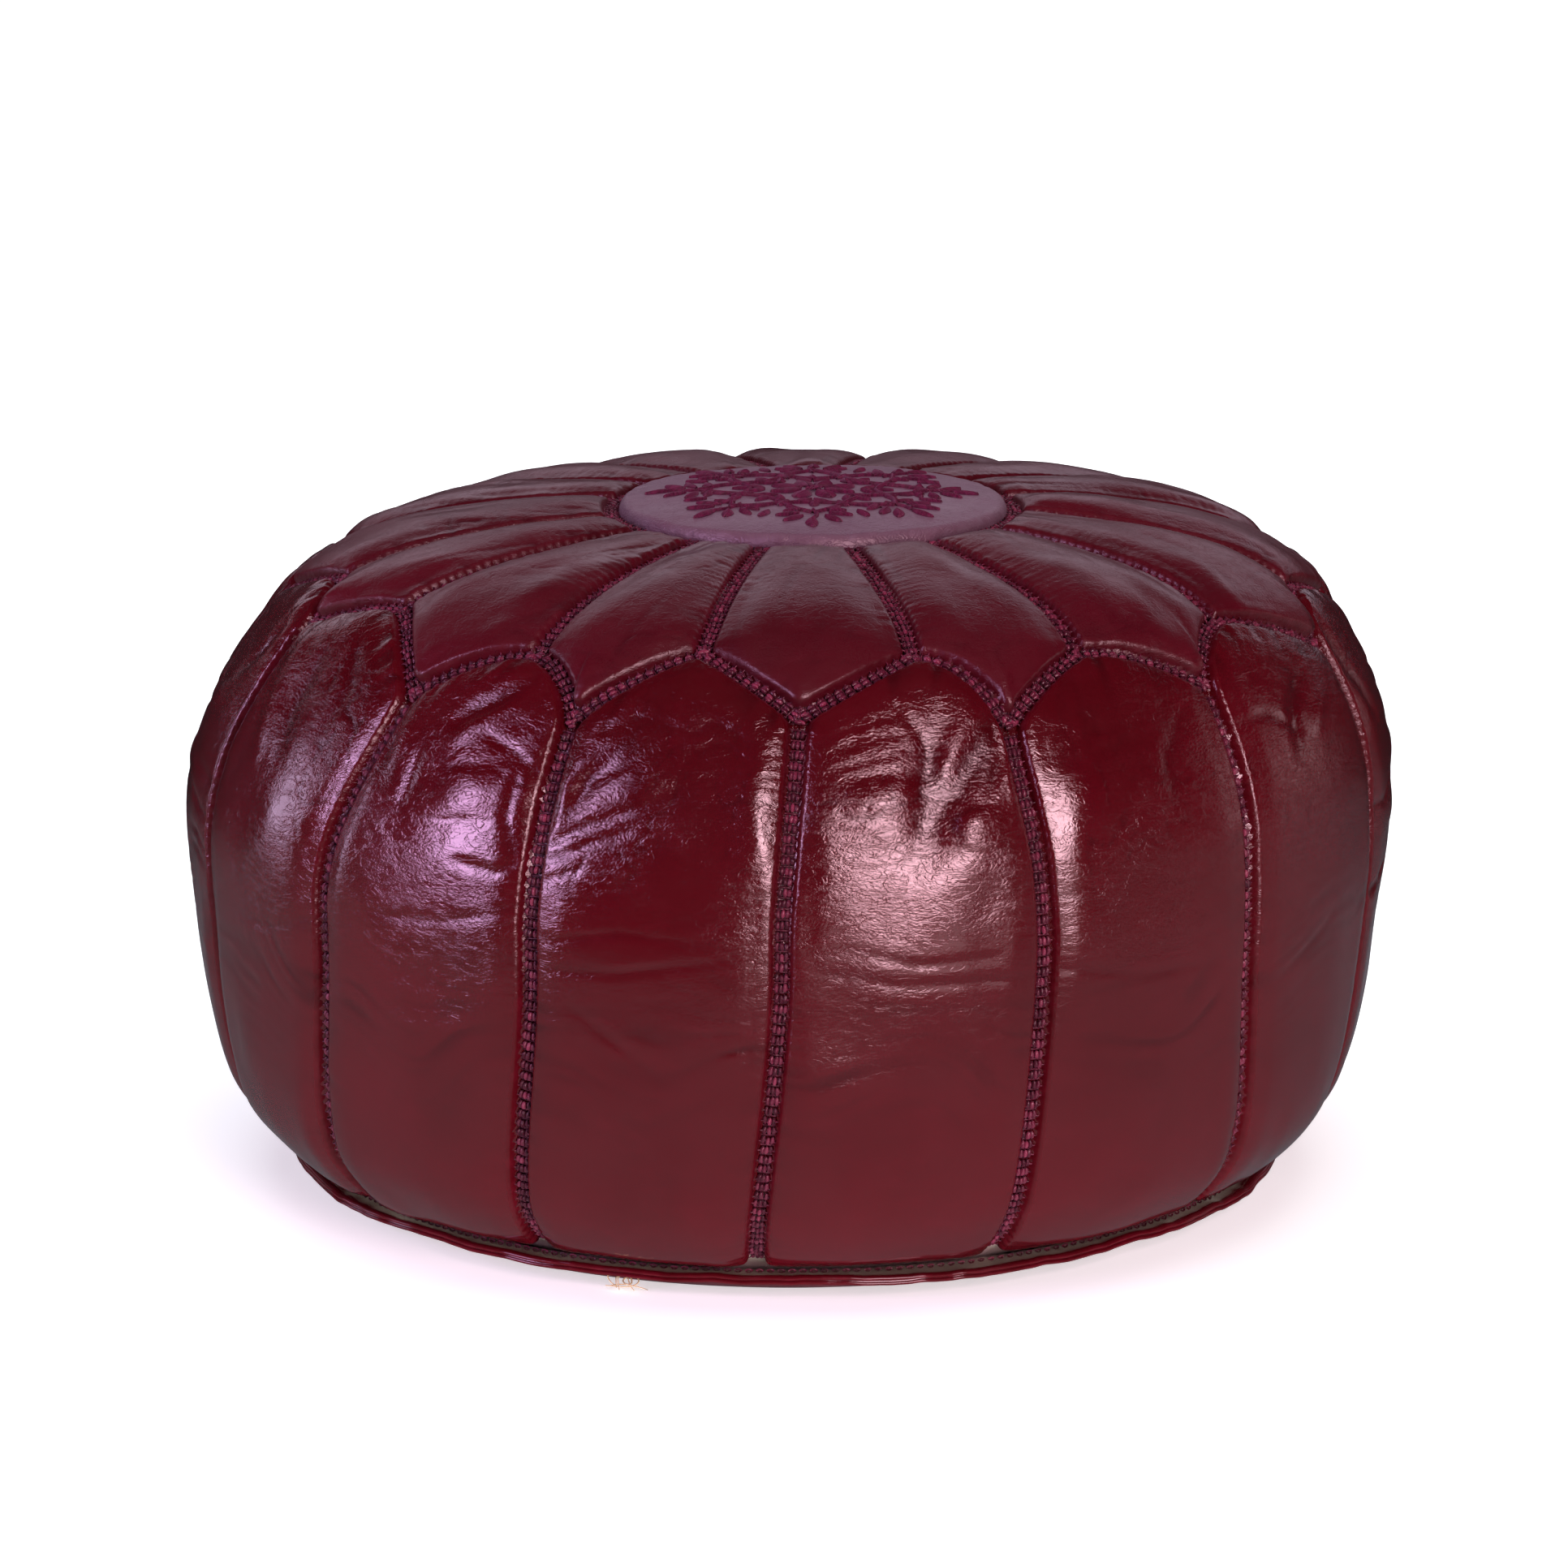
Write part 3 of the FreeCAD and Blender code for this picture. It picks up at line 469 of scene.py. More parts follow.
def leather_material(name, deep, mid, light, gloss=0.34, coat=1.0, coat_rough=0.075, grain=0.30, satin=0.0, spec=0.06, ior=1.75):
    m = Mat(name)
    edge = m.attr("edge")
    relief = m.attr("relief")
    # colour: hand-dyed, cloudy, with painted shade in the creases, and lighter along the edges, partly rubbed wear and
    # partly a painted highlight on the rolled rims
    cloud = m.noise(9.0, 4.0, 0.6, 0.4)
    streak = m.noise(1.0, 5.0, 0.62, 0.6, m.mapping((60.0, 60.0, 190.0)))
    base = m.mix(m.remap(cloud, 0.32, 0.7, 0.0, 1.0), rgba(*deep), rgba(*mid))
    base = m.mix(m.remap(streak, 0.5, 0.8, 0.0, 0.22), base, rgba(*light))
    # painted shade: the colour darkens where relief dips into creases and dents
    base = m.mix(m.remap(relief, -1.2, 0.0, 0.6, 0.0), base, rgba(deep[0] * 0.45, deep[1] * 0.4, deep[2] * 0.5))
    # lighter along the seam edges: partly rubbed wear, partly a painted highlight on the rolled rims
    rub_and_highlight = m.math("MULTIPLY", m.remap(edge, 0.5, 1.0, 0.0, 0.5), m.remap(m.noise(140.0, 3.0), 0.45, 0.7, 0.0, 1.0))
    base = m.mix(rub_and_highlight, base, rgba(light[0] * 1.05, light[1] * 1.2, light[2] * 1.2))
    speck = m.remap(m.voronoi(210.0), 0.0, 0.16, 0.35, 0.0)
    base = m.mix(speck, base, rgba(deep[0] * 0.35, deep[1] * 0.3, deep[2] * 0.4))
    m.set("Base Color", base)
    rough = m.math("ADD", m.remap(m.noise(26.0, 4.0, 0.6), 0.3, 0.7, gloss * 0.85, gloss * 1.3),
                   m.remap(m.noise(520.0, 2.0), 0.3, 0.7, 0.0, 0.05))
    m.set("Roughness", rough)
    m.set("Specular IOR Level", spec)
    m.set("Coat Weight", m.remap(edge, 0.35, 1.0, coat, coat * 0.4))
    m.set("Coat IOR", ior)
    if satin:
        m.set("Sheen Weight", satin)
        m.set("Sheen Roughness", 0.45)
        m.set("Sheen Tint", rgba(0.75, 0.62, 0.78))
    # relief: pebbled grain, fine crackle, soft wrinkles, pores
    warp = m.mapping((1.0, 1.0, 1.35))
    pebble = m.voronoi(820.0, "SMOOTH_F1", warp)
    crack = m.noise(1.0, 3.0, 0.55, 1.1, m.mapping((105.0, 105.0, 215.0)))
    crackm = m.remap(m.math("ABSOLUTE", m.math("SUBTRACT", crack, 0.5)), 0.0, 0.045, 0.0, 1.0)
    sz = m.n("ShaderNodeSeparateXYZ")
    m.put(sz.inputs[0], m.obj)
    high = m.remap(m.math("ADD", sz.outputs[2], m.remap(m.noise(9.0), 0.3, 0.7, -0.02, 0.02)), 0.110, 0.148, 0.13, 1.0)
    patch = m.math("MULTIPLY", m.remap(m.noise(14.0, 3.0, 0.6), 0.36, 0.62, 0.22, 1.0), high)
    m.set("Coat Roughness", m.remap(patch, 0.12, 0.9, coat_rough, coat_rough * 2.3))
    wrinkle = m.noise(1.0, 6.0, 0.66, 1.4, m.mapping((120.0, 120.0, 400.0)))
    swell = m.noise(34.0, 3.0, 0.5, 0.3)
    b = m.bump(swell, 0.10, 0.0030)
    b = m.bump(m.math("MULTIPLY", wrinkle, patch), 0.34, 0.0008, b)
    b = m.bump(m.math("MULTIPLY", crackm, patch), min(1.0, grain * 0.9), 0.00040, b)
    b = m.bump(m.math("MULTIPLY", pebble, patch), grain * 1.2, 0.00035, b)
    m.set("Normal", b)
    m.put(m.p.inputs["Coat Normal"], b)
    return m.m


def thread_material(name, dark, mid, bright, ply=1500.0, rough=0.5, sheen=0.6, tint=(0.9, 0.45, 0.6)):
    m = Mat(name)
    tone_and_painted_light = m.attr("tone_and_painted_light")
    fuzz = m.noise(900.0, 3.0)
    col = m.mix(m.remap(fuzz, 0.3, 0.75, 0.0, 1.0), rgba(*dark), rgba(*mid))
    # tone pulls the colour towards the bright one: random per strand, and on the braids also a painted highlight on the
    # raised middle strands and painted shade on the binding threads in the gaps
    col = m.mix(m.remap(tone_and_painted_light, 0.0, 1.0, 0.0, 0.75), col, rgba(*bright))
    m.set("Base Color", col)
    m.set("Roughness", m.remap(m.noise(300.0), 0.3, 0.7, rough * 0.85, rough * 1.15))
    m.set("Specular IOR Level", 0.45)
    m.set("Sheen Weight", sheen)
    m.set("Sheen Roughness", 0.35)
    m.set("Sheen Tint", rgba(*tint))
    b = m.bump(m.wave(ply / 6.3, 3.0, "DIAGONAL", dscale=2.0), 0.55, 0.00022)
    b = m.bump(m.noise(ply, 2.0), 0.45, 0.0002, b)
    m.set("Normal", b)
    return m.m


SIDE = leather_material("side_leather", (0.043, 0.0005, 0.0024), (0.056, 0.0008, 0.0036), (0.080, 0.0026, 0.0080))
TOP = leather_material("top_leather", (0.044, 0.0011, 0.0044), (0.060, 0.0018, 0.0066), (0.084, 0.0048, 0.0125),
                       gloss=0.30, coat=0.55, coat_rough=0.16, grain=0.24, spec=0.28, ior=1.5)
# the medallion's grey mauve colour is a painted sheen: it stands in for the pale reflection its top catches
MEDAL = leather_material("medallion_leather_painted_sheen", (0.085, 0.040, 0.062), (0.112, 0.058, 0.084), (0.150, 0.086, 0.118),
                         gloss=0.36, coat=0.25, coat_rough=0.22, grain=0.55, satin=0.06, spec=0.5, ior=1.45)
BASE = leather_material("base_leather", (0.046, 0.0014, 0.0050), (0.068, 0.0030, 0.0085), (0.10, 0.007, 0.016),
                        gloss=0.36, coat=0.4, coat_rough=0.2, grain=0.35, spec=0.4, ior=1.5)
# braid colours: dark wine, with the bright one serving as a painted highlight that tone lays on the raised strands
BRAID = thread_material("braid_thread", (0.018, 0.0008, 0.0045), (0.062, 0.0034, 0.0155), (0.19, 0.020, 0.055), rough=0.36,
                        sheen=0.12)
EMBR = thread_material("embroidery_thread", (0.030, 0.0008, 0.0095), (0.062, 0.0014, 0.0190), (0.120, 0.0050, 0.0420),
                       ply=2400.0, rough=0.45, sheen=0.10, tint=(0.9, 0.4, 0.7))
BEIGE = thread_material("natural_thread", (0.28, 0.19, 0.10), (0.45, 0.33, 0.19), (0.6, 0.48, 0.3), sheen=0.3,
                        tint=(0.9, 0.85, 0.7))


# ------------------------------------------------------------------ folds in the leather
# Each fold: panel, points (u across, s along the profile), height mm, half width mm.
FOLDS = {}


def add_fold(k, pts, h, w):
    FOLDS.setdefault(k % N, []).append((np.array(pts, float), h, w))


def fold_height(k, x, s, width_mm):
    """x: mm from the left edge, s: mm along the profile; width_mm: not used."""
    total = np.zeros_like(x)
    for pts, h, w in FOLDS.get(k % N, []):
        best = np.full(x.shape, 1e9)
        along = np.zeros_like(x)
        px = pts[:, 0] * 100.0
        ps = pts[:, 1]
        seg = np.hypot(np.diff(px), np.diff(ps))
        cum = np.concatenate([[0], np.cumsum(seg)])
        for i in range(len(seg)):
            ax, as_ = px[i], ps[i]
            dx, ds = px[i + 1] - ax, ps[i + 1] - as_
            t = np.clip(((x - ax) * dx + (s - as_) * ds) / (seg[i] ** 2 + 1e-9), 0, 1)
            d = np.hypot(x - ax - t * dx, s - as_ - t * ds)
            m = d < best
            best = np.where(m, d, best)
            along = np.where(m, (cum[i] + t * seg[i]) / cum[-1], along)
        taper = np.sin(np.pi * np.clip(along * 0.86 + 0.07, 0, 1)) ** 0.6
        total += h * taper * np.exp(-(best / w) ** 2)
    return total





for k_, pts_, h_, w_ in [
    (0, [(0.937, 273.0), (0.737, 253.0), (0.564, 232.2), (0.504, 224.5)], -2.6, 9.0),
    (0, [(0.626, 272.2), (0.566, 252.2), (0.532, 235.8)], -2.0, 7.0),
    (0, [(0.772, 273.2), (0.652, 255.0), (0.579, 242.2)], 1.2, 5.0),
    (0, [(0.365, 253.0), (0.372, 236.5)], 3.0, 17),
    (0, [(0.749, 241.2), (0.706, 221.8)], 3.2, 12),
    (0, [(0.932, 261.8), (0.957, 236.2)], 1.4, 4.5),
    (0, [(0.994, 268.2), (0.858, 250.5), (0.805, 242.5)], -1.2, 3.5),
    (0, [(0.096, 268.5), (0.284, 275.8), (0.473, 279.8)], -0.3, 2.2),
    (0, [(0.086, 261.8), (0.302, 269.2), (0.504, 271.2)], -0.38, 2.4),
    (0, [(0.113, 255.0), (0.318, 260.5), (0.492, 264.2)], -0.3, 2.0),
    (0, [(0.161, 248.5), (0.334, 254.8), (0.51, 256.5)], -0.22, 1.8),
    (0, [(0.435, 284.2), (0.542, 272.8), (0.588, 262.2)], -0.6, 2.5),
    (0, [(0.225, 184.8), (0.492, 177.0), (0.796, 178.0)], -0.5, 2.2),
    (0, [(0.138, 175.0), (0.464, 168.8), (0.897, 168.2)], -0.5, 2.0),
    (15, [(0.352, 258.0), (0.438, 242.0)], 2.4, 18),
    (15, [(0.068, 231.8), (0.074, 248.5), (0.149, 260.0)], 1.5, 5.5),
    (15, [(0.134, 236.5), (0.161, 248.2), (0.231, 255.5)], -1.3, 4.5),
    (15, [(0.046, 222.5), (0.199, 231.0), (0.347, 238.0)], -0.9, 2.4),
    (15, [(0.05, 215.2), (0.237, 224.8), (0.394, 230.0)], -0.7, 2.2),
    (15, [(0.053, 207.8), (0.219, 215.0)], -0.6, 2.0),
    (15, [(0.526, 269.8), (0.643, 276.5), (0.812, 267.5)], -0.7, 2.2),
    (15, [(0.565, 262.5), (0.686, 268.0), (0.807, 260.0)], -0.6, 2.0),
    (15, [(0.179, 270.5), (0.327, 276.8), (0.513, 272.5)], -0.6, 2.6),
    (15, [(0.178, 156.8), (0.381, 143.0), (0.561, 127.8)], -0.5, 2.0),
    (15, [(0.061, 183.0), (0.374, 189.2), (0.687, 186.0)], -0.5, 2.0),
    (15, [(0.08, 171.5), (0.37, 172.5), (0.809, 179.8)], -0.5, 2.0),
    (15, [(0.833, 263.2), (0.841, 240.2), (0.909, 217.5)], 1.0, 7.0),
    (14, [(0.636, 249.8), (0.672, 228.0)], 2.8, 17),
    (14, [(0.722, 288.8), (0.602, 278.5), (0.435, 269.0)], -1.6, 4.5),
    (14, [(0.712, 277.5), (0.575, 268.5), (0.443, 259.0)], 1.1, 4.5),
    (14, [(0.036, 259.5), (0.165, 238.0)], -1.2, 4.5),
    (14, [(0.296, 252.5), (0.334, 232.0)], -0.8, 3.0),
    (14, [(0.665, 211.5), (0.854, 208.8), (0.949, 215.0)], -0.7, 2.2),
    (14, [(0.847, 250.2), (0.857, 230.2), (0.918, 214.5)], -0.9, 3.0),
    (14, [(0.272, 184.5), (0.592, 185.0), (0.907, 193.0)], -0.5, 2.2),
    (14, [(0.607, 263.2), (0.816, 256.8), (0.986, 246.8)], -0.7, 2.4),
    (1, [(0.224, 255.5), (0.203, 233.5), (0.146, 215.8)], 1.5, 10),
    (1, [(0.125, 256.5), (0.31, 265.0), (0.512, 268.2)], -0.38, 2.2),
    (1, [(0.108, 250.0), (0.32, 257.8), (0.551, 259.2)], -0.32, 2.2),
    (1, [(0.093, 242.2), (0.272, 248.0), (0.432, 249.2)], -0.28, 2.0),
    (1, [(0.769, 267.2), (0.641, 251.2), (0.625, 232.5)], -0.9, 4.0),
    (1, [(0.026, 172.0), (0.382, 163.2), (0.791, 160.8)], -0.5, 2.2),
    (2, [(0.617, 272.8), (0.417, 258.0), (0.35, 237.5)], -1.4, 4.5),
    (2, [(0.685, 259.5), (0.509, 244.8)], 1.0, 4.0),
    (2, [(0.076, 258.0), (0.237, 258.2), (0.405, 247.2)], -0.7, 2.4),
    (2, [(0.524, 162.0), (0.291, 150.5), (0.134, 143.8)], -0.6, 2.5),
    (13, [(0.176, 277.0), (0.239, 255.0), (0.339, 233.0)], 1.5, 6.0),
    (13, [(0.382, 278.0), (0.417, 255.8), (0.512, 235.5)], -1.4, 4.5),
    (13, [(0.546, 289.8), (0.695, 269.5), (0.699, 250.8)], -0.9, 3.5),
    (13, [(0.437, 162.0), (0.715, 165.5), (0.971, 174.8)], -0.5, 2.2),
    (12, [(0.951, 248.0), (0.994, 226.2)], -1.2, 4.0),
]:
    add_fold(k_, pts_, h_, w_)

# the panels round the back and sides get folds of their own, from a fixed seed
_rng = np.random.RandomState(2024)
for k_ in range(3, 13):
    top_ = S_VALLEY + 6.0
    side_ = 1 if _rng.uniform() > 0.5 else -1
    for q_ in range(_rng.randint(2, 4)):
        u0_ = 0.5 + side_ * _rng.uniform(0.28, 0.44)
        u1_ = u0_ - side_ * _rng.uniform(0.12, 0.38)
        s0_ = top_ - _rng.uniform(4, 16)
        s1_ = s0_ - _rng.uniform(22, 48)
        add_fold(k_, [(u0_, s0_), (0.5 * (u0_ + u1_) + _rng.uniform(-0.05, 0.05), 0.5 * (s0_ + s1_)), (u1_, s1_)],
                 -_rng.uniform(0.9, 2.4), _rng.uniform(3.5, 6.0))
        side_ = -side_
    for q_ in range(3):
        u0_, s0_ = _rng.uniform(0.2, 0.8), _rng.uniform(195, 250)
        add_fold(k_, [(u0_, s0_), (u0_ + _rng.uniform(-0.05, 0.05), s0_ - 14)], _rng.uniform(1.0, 2.0), _rng.uniform(14, 20))
    for q_ in range(6):
        e_ = _rng.choice([0.03, 0.97])
        s0_ = _rng.uniform(150, 262)
        add_fold(k_, [(e_, s0_), (e_ + (0.18 if e_ < 0.5 else -0.18), s0_ + _rng.uniform(-2, 9)),
                      (e_ + (0.36 if e_ < 0.5 else -0.36), s0_ + _rng.uniform(0, 14))], -_rng.uniform(0.5, 0.9), 2.2)


ALLOW = 3.0                   # seam allowance: how far the turned leather runs on under the braid


def roll(d, deep=5.0, radius=2.6):
    """Edge of the leather turning down beside the braid, then running flat under it."""
    t = np.clip(1 - d / radius, 0, 1)
    return -deep * (1 - np.sqrt(np.clip(1 - t ** 2.4, 0, 1)))


def puff(d, depth=2.4, reach=15.0):
    return -depth * (1 - np.clip(d / reach, 0, 1)) ** 2.0


def spread(n, near, share):
    """n values from 0 to 1, closer together over the share nearest each end."""
    x = np.linspace(0, 1, 2001)
    dens = 1 + near * (np.exp(-(x / share) ** 2) + np.exp(-((1 - x) / share) ** 2))
    c = np.concatenate([[0], np.cumsum(0.5 * (dens[1:] + dens[:-1]))])
    return np.interp(np.linspace(0, 1, n), c / c[-1], x)


def smin(a, b, r):
    h = np.clip(0.5 + 0.5 * (b - a) / r, 0, 1)
    return b * (1 - h) + a * h - r * h * (1 - h)


S_LOW = S_WELT + 4.0
NU_S, NV_S = 97, 233


def build_side(k):
    u = spread(NU_S, 2.2, 0.09)
    v = spread(NV_S, 1.8, 0.045)
    U, Vv = np.meshgrid(u, v, indexing="ij")
    a0, b0 = float(seam_angle(k, 400.0)), float(seam_angle(k + 1, 400.0))
    warp = (PITCH * (k + 0.5) + RADIAL_OUT[k % N] - a0) / (b0 - a0) - 0.5
    ang, line = arch(k, u)
    e = 0.01
    a1, s1 = arch(k, np.clip(u + e, 0, 1))
    a2, s2 = arch(k, np.clip(u - e, 0, 1))
    slope = (s1 - s2) / (np.radians(a1 - a2) * prof_r(line) + 1e-9)
    lean_f = np.sqrt(1 + np.minimum(slope ** 2, 4.0))
    top = line - (EDGE - ALLOW) * lean_f
    # rounded where the two edges meet
    S = S_LOW + Vv * (top[:, None] - S_LOW)
    R = prof_r(S)
    c = warp * smooth((S - 190.0) / 78.0)
    slant_l = np.radians(seam_angle(k, S + 3) - seam_angle(k, S - 3)) * R / 6
    slant_r = np.radians(seam_angle(k + 1, S + 3) - seam_angle(k + 1, S - 3)) * R / 6
    pull = 0.20 * np.cos(2 * np.pi * S / 4.5)             # the stitches draw the edge in
    left = seam_angle(k, S) + np.degrees((EDGE - ALLOW) * np.sqrt(1 + slant_l ** 2) / R)
    right = seam_angle(k + 1, S) - np.degrees((EDGE - ALLOW) * np.sqrt(1 + slant_r ** 2) / R)
    f = U + 4 * c * U * (1 - U)
    A = left + (right - left) * f
    W = np.radians(right - left) * R
    X = f * W
    d_side = np.minimum(f, 1 - f) * W - ALLOW + pull
    d_top = (top[:, None] - S) / lean_f[:, None] - ALLOW + 0.20 * np.cos(2 * np.pi * X / 4.3)
    d_low = (S - S_LOW) * 1.3
    d = smin(smin(d_side, d_top, 4.0), d_low, 5.0)
    d = np.maximum(d, 0)
    fade = smooth((d - 1.0) / 9.0)
    sd = 100 * (k % N)
    rng = np.random.RandomState(500 + k % N)
    # broad unevenness of the stuffing
    low = 1.0 * noise(X / 46.0 + 3.1 * k, S / 60.0, sd + 1) + 0.45 * noise(X / 22.0, S / 34.0, sd + 2)
    # puckers square to the seams, fading inwards
    pk = np.exp(-np.maximum(d_side - 1.5, 0) / 7.5) * smooth((d_side - 0.4) / 2.5)
    side_l = np.where(f < 0.5, 1, 2)
    pw = noise(S / 5.2 + 0.5 * np.where(f < 0.5, 1, -1) * X / 9.0, side_l * 7.7, sd + 3)
    pucker = 0.42 * pk * pw * (0.5 + 0.5 * noise(S / 30.0, side_l * 3.3, sd + 4))
    # puckers square to the zigzag
    pk2 = np.exp(-np.maximum(d_top - 1.5, 0) / 11.0) * smooth((d_top - 0.4) / 2.5)
    pucker += 0.62 * pk2 * noise(X / 5.0 + 0.05 * (top[:, None] - S) * noise(X / 20.0, 2.2, sd), d_top / 30.0, sd + 6)
    # cross creases where the body is widest, and near the top
    band = np.exp(-((S - 150.0 - 12 * noise(X / 60.0, k, 9)) / 26.0) ** 2)
    streak = noise(X / 26.0, S / 2.7 + 0.10 * X * noise(X / 50.0, S / 60.0, sd + 7), sd + 8)
    cross = 0.34 * band * np.minimum(streak, 0.15) * (0.4 + 0.9 * np.clip(noise(X / 24.0, S / 16.0, sd + 9) + 0.3, 0, 1))
    upper = smooth((S - 185.0) / 40.0)
    cr = crease(X / 15.0 + 0.3 * noise(X / 9, S / 9, sd), S / 21.0, sd + 11, 0.09)
    mask = np.clip(noise(X / 30.0, S / 30.0, sd + 12) + 0.15, 0, 1)
    cross -= 0.42 * upper * cr * mask
    cross -= 0.25 * upper * crease(X / 7.0, S / 9.0, sd + 13, 0.10) * np.clip(noise(X / 22.0, S / 22.0, sd + 14), 0, 1)
    dent = fold_height(k, X / np.maximum(W, 1) * 100.0, S, W)
    fine = (low * fade + cross * fade + dent * smooth((d - 0.5) / 5.0))
    off = roll(d) + puff(d) + fine + pucker
    outer = surface(A, S, off)
    inner = surface(A, S, off - np.where(d < 2, 0.7, LEATHER))
    verts, faces = closed_panel(outer, inner)
    edge = (d > 0.05) * np.exp(-(d / 3.0) ** 2)
    rel = np.clip((cross + pucker) * 3.0 + np.minimum(dent, 0) * 0.6, -1.2, 1.0)
    ni = len(verts) - edge.size
    o = make_mesh("leather_side_%02d" % (k + 1), verts, faces,
                  {"edge": np.concatenate([edge.ravel(), np.zeros(ni)]),
                   "relief": np.concatenate([rel.ravel(), np.zeros(ni)])}, material=SIDE)
    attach(o, "pouf")
    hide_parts("side_panel_%02d" % (k + 1))
    return o


NU_P, NV_P = 65, 137


def petal_low(k, u):
    w = np.abs(2 * u - 1)
    w = np.sqrt(w * w + 0.0025) / math.sqrt(1.0025)
    ar, sr = arch(k, 0.5 * w)
    al, sl = arch(k - 1, 1.0 - 0.5 * w)
    a = np.where(u >= 0.5, ar, al)
    s = np.where(u >= 0.5, sr, sl)
    near = w < 0.06
    a = np.where(near, float(seam_angle(k, 400.0)), a)
    s = np.where(near, 0.5 * (sr + sl), s)
    return a, s


def build_petal(k):
    u = np.linspace(0, 1, NU_P)
    u = spread(NU_P, 1.8, 0.10)
    v = spread(NV_P, 1.8, 0.06)
    a_low, low = petal_low(k, u)
    e = 0.012
    aa, sa = petal_low(k, np.clip(u + e, 0, 1))
    ab, sb = petal_low(k, np.clip(u - e, 0, 1))
    slope = (sa - sb) / (np.radians(aa - ab) * prof_r(low) + 1e-9)
    lean_f = np.sqrt(1 + np.minimum(slope ** 2, 4.0))
    low = low + (EDGE - ALLOW) * lean_f
    top = S_RING - (EDGE - ALLOW)
    S = low[:, None] + v[None, :] * (top - low[:, None])
    R = prof_r(S)
    edge = np.degrees((EDGE - ALLOW) / R)
    pull = 0.2 * np.cos(2 * np.pi * S / 4.4)
    left, right = radial_angle(k - 1, S) + edge, radial_angle(k, S) - edge
    l0 = radial_angle(k - 1, low) + np.degrees((EDGE - ALLOW) / prof_r(low))
    r0 = radial_angle(k, low) - np.degrees((EDGE - ALLOW) / prof_r(low))
    f_low = np.clip((a_low - l0) / (r0 - l0), 0, 1)
    f_low[0], f_low[-1] = 0.0, 1.0
    f = (1 - v[None, :]) * f_low[:, None] + v[None, :] * u[:, None]
    A = left + (right - left) * f
    W = np.radians(right - left) * R
    X = f * W
    d_side = np.minimum(f, 1 - f) * W - ALLOW + pull
    # true distance to the lower edge lines
    d_low = (S - low[:, None]) / lean_f[:, None] - ALLOW + 0.2 * np.cos(2 * np.pi * X / 4.3)
    d_top = top - S - ALLOW
    d = np.maximum(smin(smin(d_side, d_top, 3.0), d_low, 3.0), 0)
    fade = smooth((d - 1.0) / 7.0)
    sd = 3000 + 100 * (k % N)
    lowf = 1.1 * noise(X / 30.0 + k, S / 45.0, sd) + 0.5 * noise(X / 14.0, S / 26.0, sd + 1)
    # long soft creases running from the ring outwards, and bars across
    length = noise(X / 4.2 + 0.4 * noise(X / 20, S / 30, sd + 2), S / 46.0, sd + 3)
    ring_near = np.exp(-(top - S) / 34.0)
    radialc = -0.5 * (0.25 + ring_near) * np.clip(length, 0, 1) ** 2
    bars = -0.34 * crease(X / 24.0, S / 12.0, sd + 4, 0.10) * np.clip(noise(X / 26.0, S / 26.0, sd + 5) + 0.1, 0, 1)
    pk = np.exp(-np.maximum(d_side - 1.2, 0) / 5.0) * smooth((d_side - 0.4) / 2.0)
    pucker = 0.34 * pk * noise(S / 4.8, np.where(f < 0.5, 1, 2) * 5.5, sd + 6)
    pk2 = np.exp(-np.maximum(d_top - 1.2, 0) / 8.0) * smooth((d_top - 0.4) / 2.0)
    pucker += 0.4 * pk2 * noise(X / 3.6, 1.5, sd + 7)
    # the petal swells across its width towards the tip
    wide = np.clip(W / 60.0, 0.5, 1.25)
    off = (roll(d, 5.0, 2.4) + puff(d, 2.4, 14.0) * (0.75 + 0.25 * wide) + (lowf + radialc + bars) * fade + pucker
           + 1.3 * smooth((d_side - 4.0) / 16.0) * wide)
    dent = fold_height(100 + k % N, X / np.maximum(W, 1) * 100.0, S, W) if (100 + k % N) in FOLDS else 0.0
    off = np.maximum(off + dent * fade - 0.9, -8.3)
    outer = surface(A, S, off)
    inner = surface(A, S, off - np.where(d < 2, 0.7, LEATHER))
    verts, faces = closed_panel(outer, inner)
    edge_a = (d > 0.05) * np.exp(-(d / 2.6) ** 2)
    rel = np.clip((radialc + bars + pucker) * 2.5, -1.2, 1.0) * np.ones_like(S)
    ni = len(verts) - edge_a.size
    o = make_mesh("leather_petal_%02d" % (k + 1), verts, faces,
                  {"edge": np.concatenate([edge_a.ravel(), np.zeros(ni)]),
                   "relief": np.concatenate([rel.ravel(), np.zeros(ni)])}, material=TOP)
    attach(o, "pouf")
    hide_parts("top_petal_%02d" % (k + 1))
    return o


for k in range(N):
    build_side(k)
for k in range(N):
    build_petal(k)


# ------------------------------------------------------------------ braids
def grain_template(half_len=1.78, half_w=0.93, half_h=1.12, rings=7, sides=8):
    """Fat thread lying along t; returns (t, b, n) points and quads/tris."""
    t = -np.cos(np.linspace(0.0, np.pi, rings + 2))[1:-1]
    prof = np.sqrt(np.clip(1 - np.abs(t) ** 3.0, 0, 1))
    a = np.arange(sides) * 2 * np.pi / sides
    tt = np.repeat(t * half_len, sides)
    bb = (prof[:, None] * np.cos(a)[None, :]).ravel() * half_w
    nn = (prof[:, None] * np.sin(a)[None, :]).ravel() * half_h
    pts = np.stack([tt, bb, nn], 1)
    pts = np.concatenate([pts, [[-half_len, 0, 0], [half_len, 0, 0]]])
    quads = grid_quads(rings, sides, wrap_v=True)
    k = np.arange(sides)
    k1 = (k + 1) % sides
    i0, i1 = rings * sides, rings * sides + 1
    tris = np.concatenate([np.stack([np.full(sides, i0), k1, k], 1),
                           np.stack([np.full(sides, i1), (rings - 1) * sides + k, (rings - 1) * sides + k1], 1)])
    return pts, quads, tris


GT = grain_template()


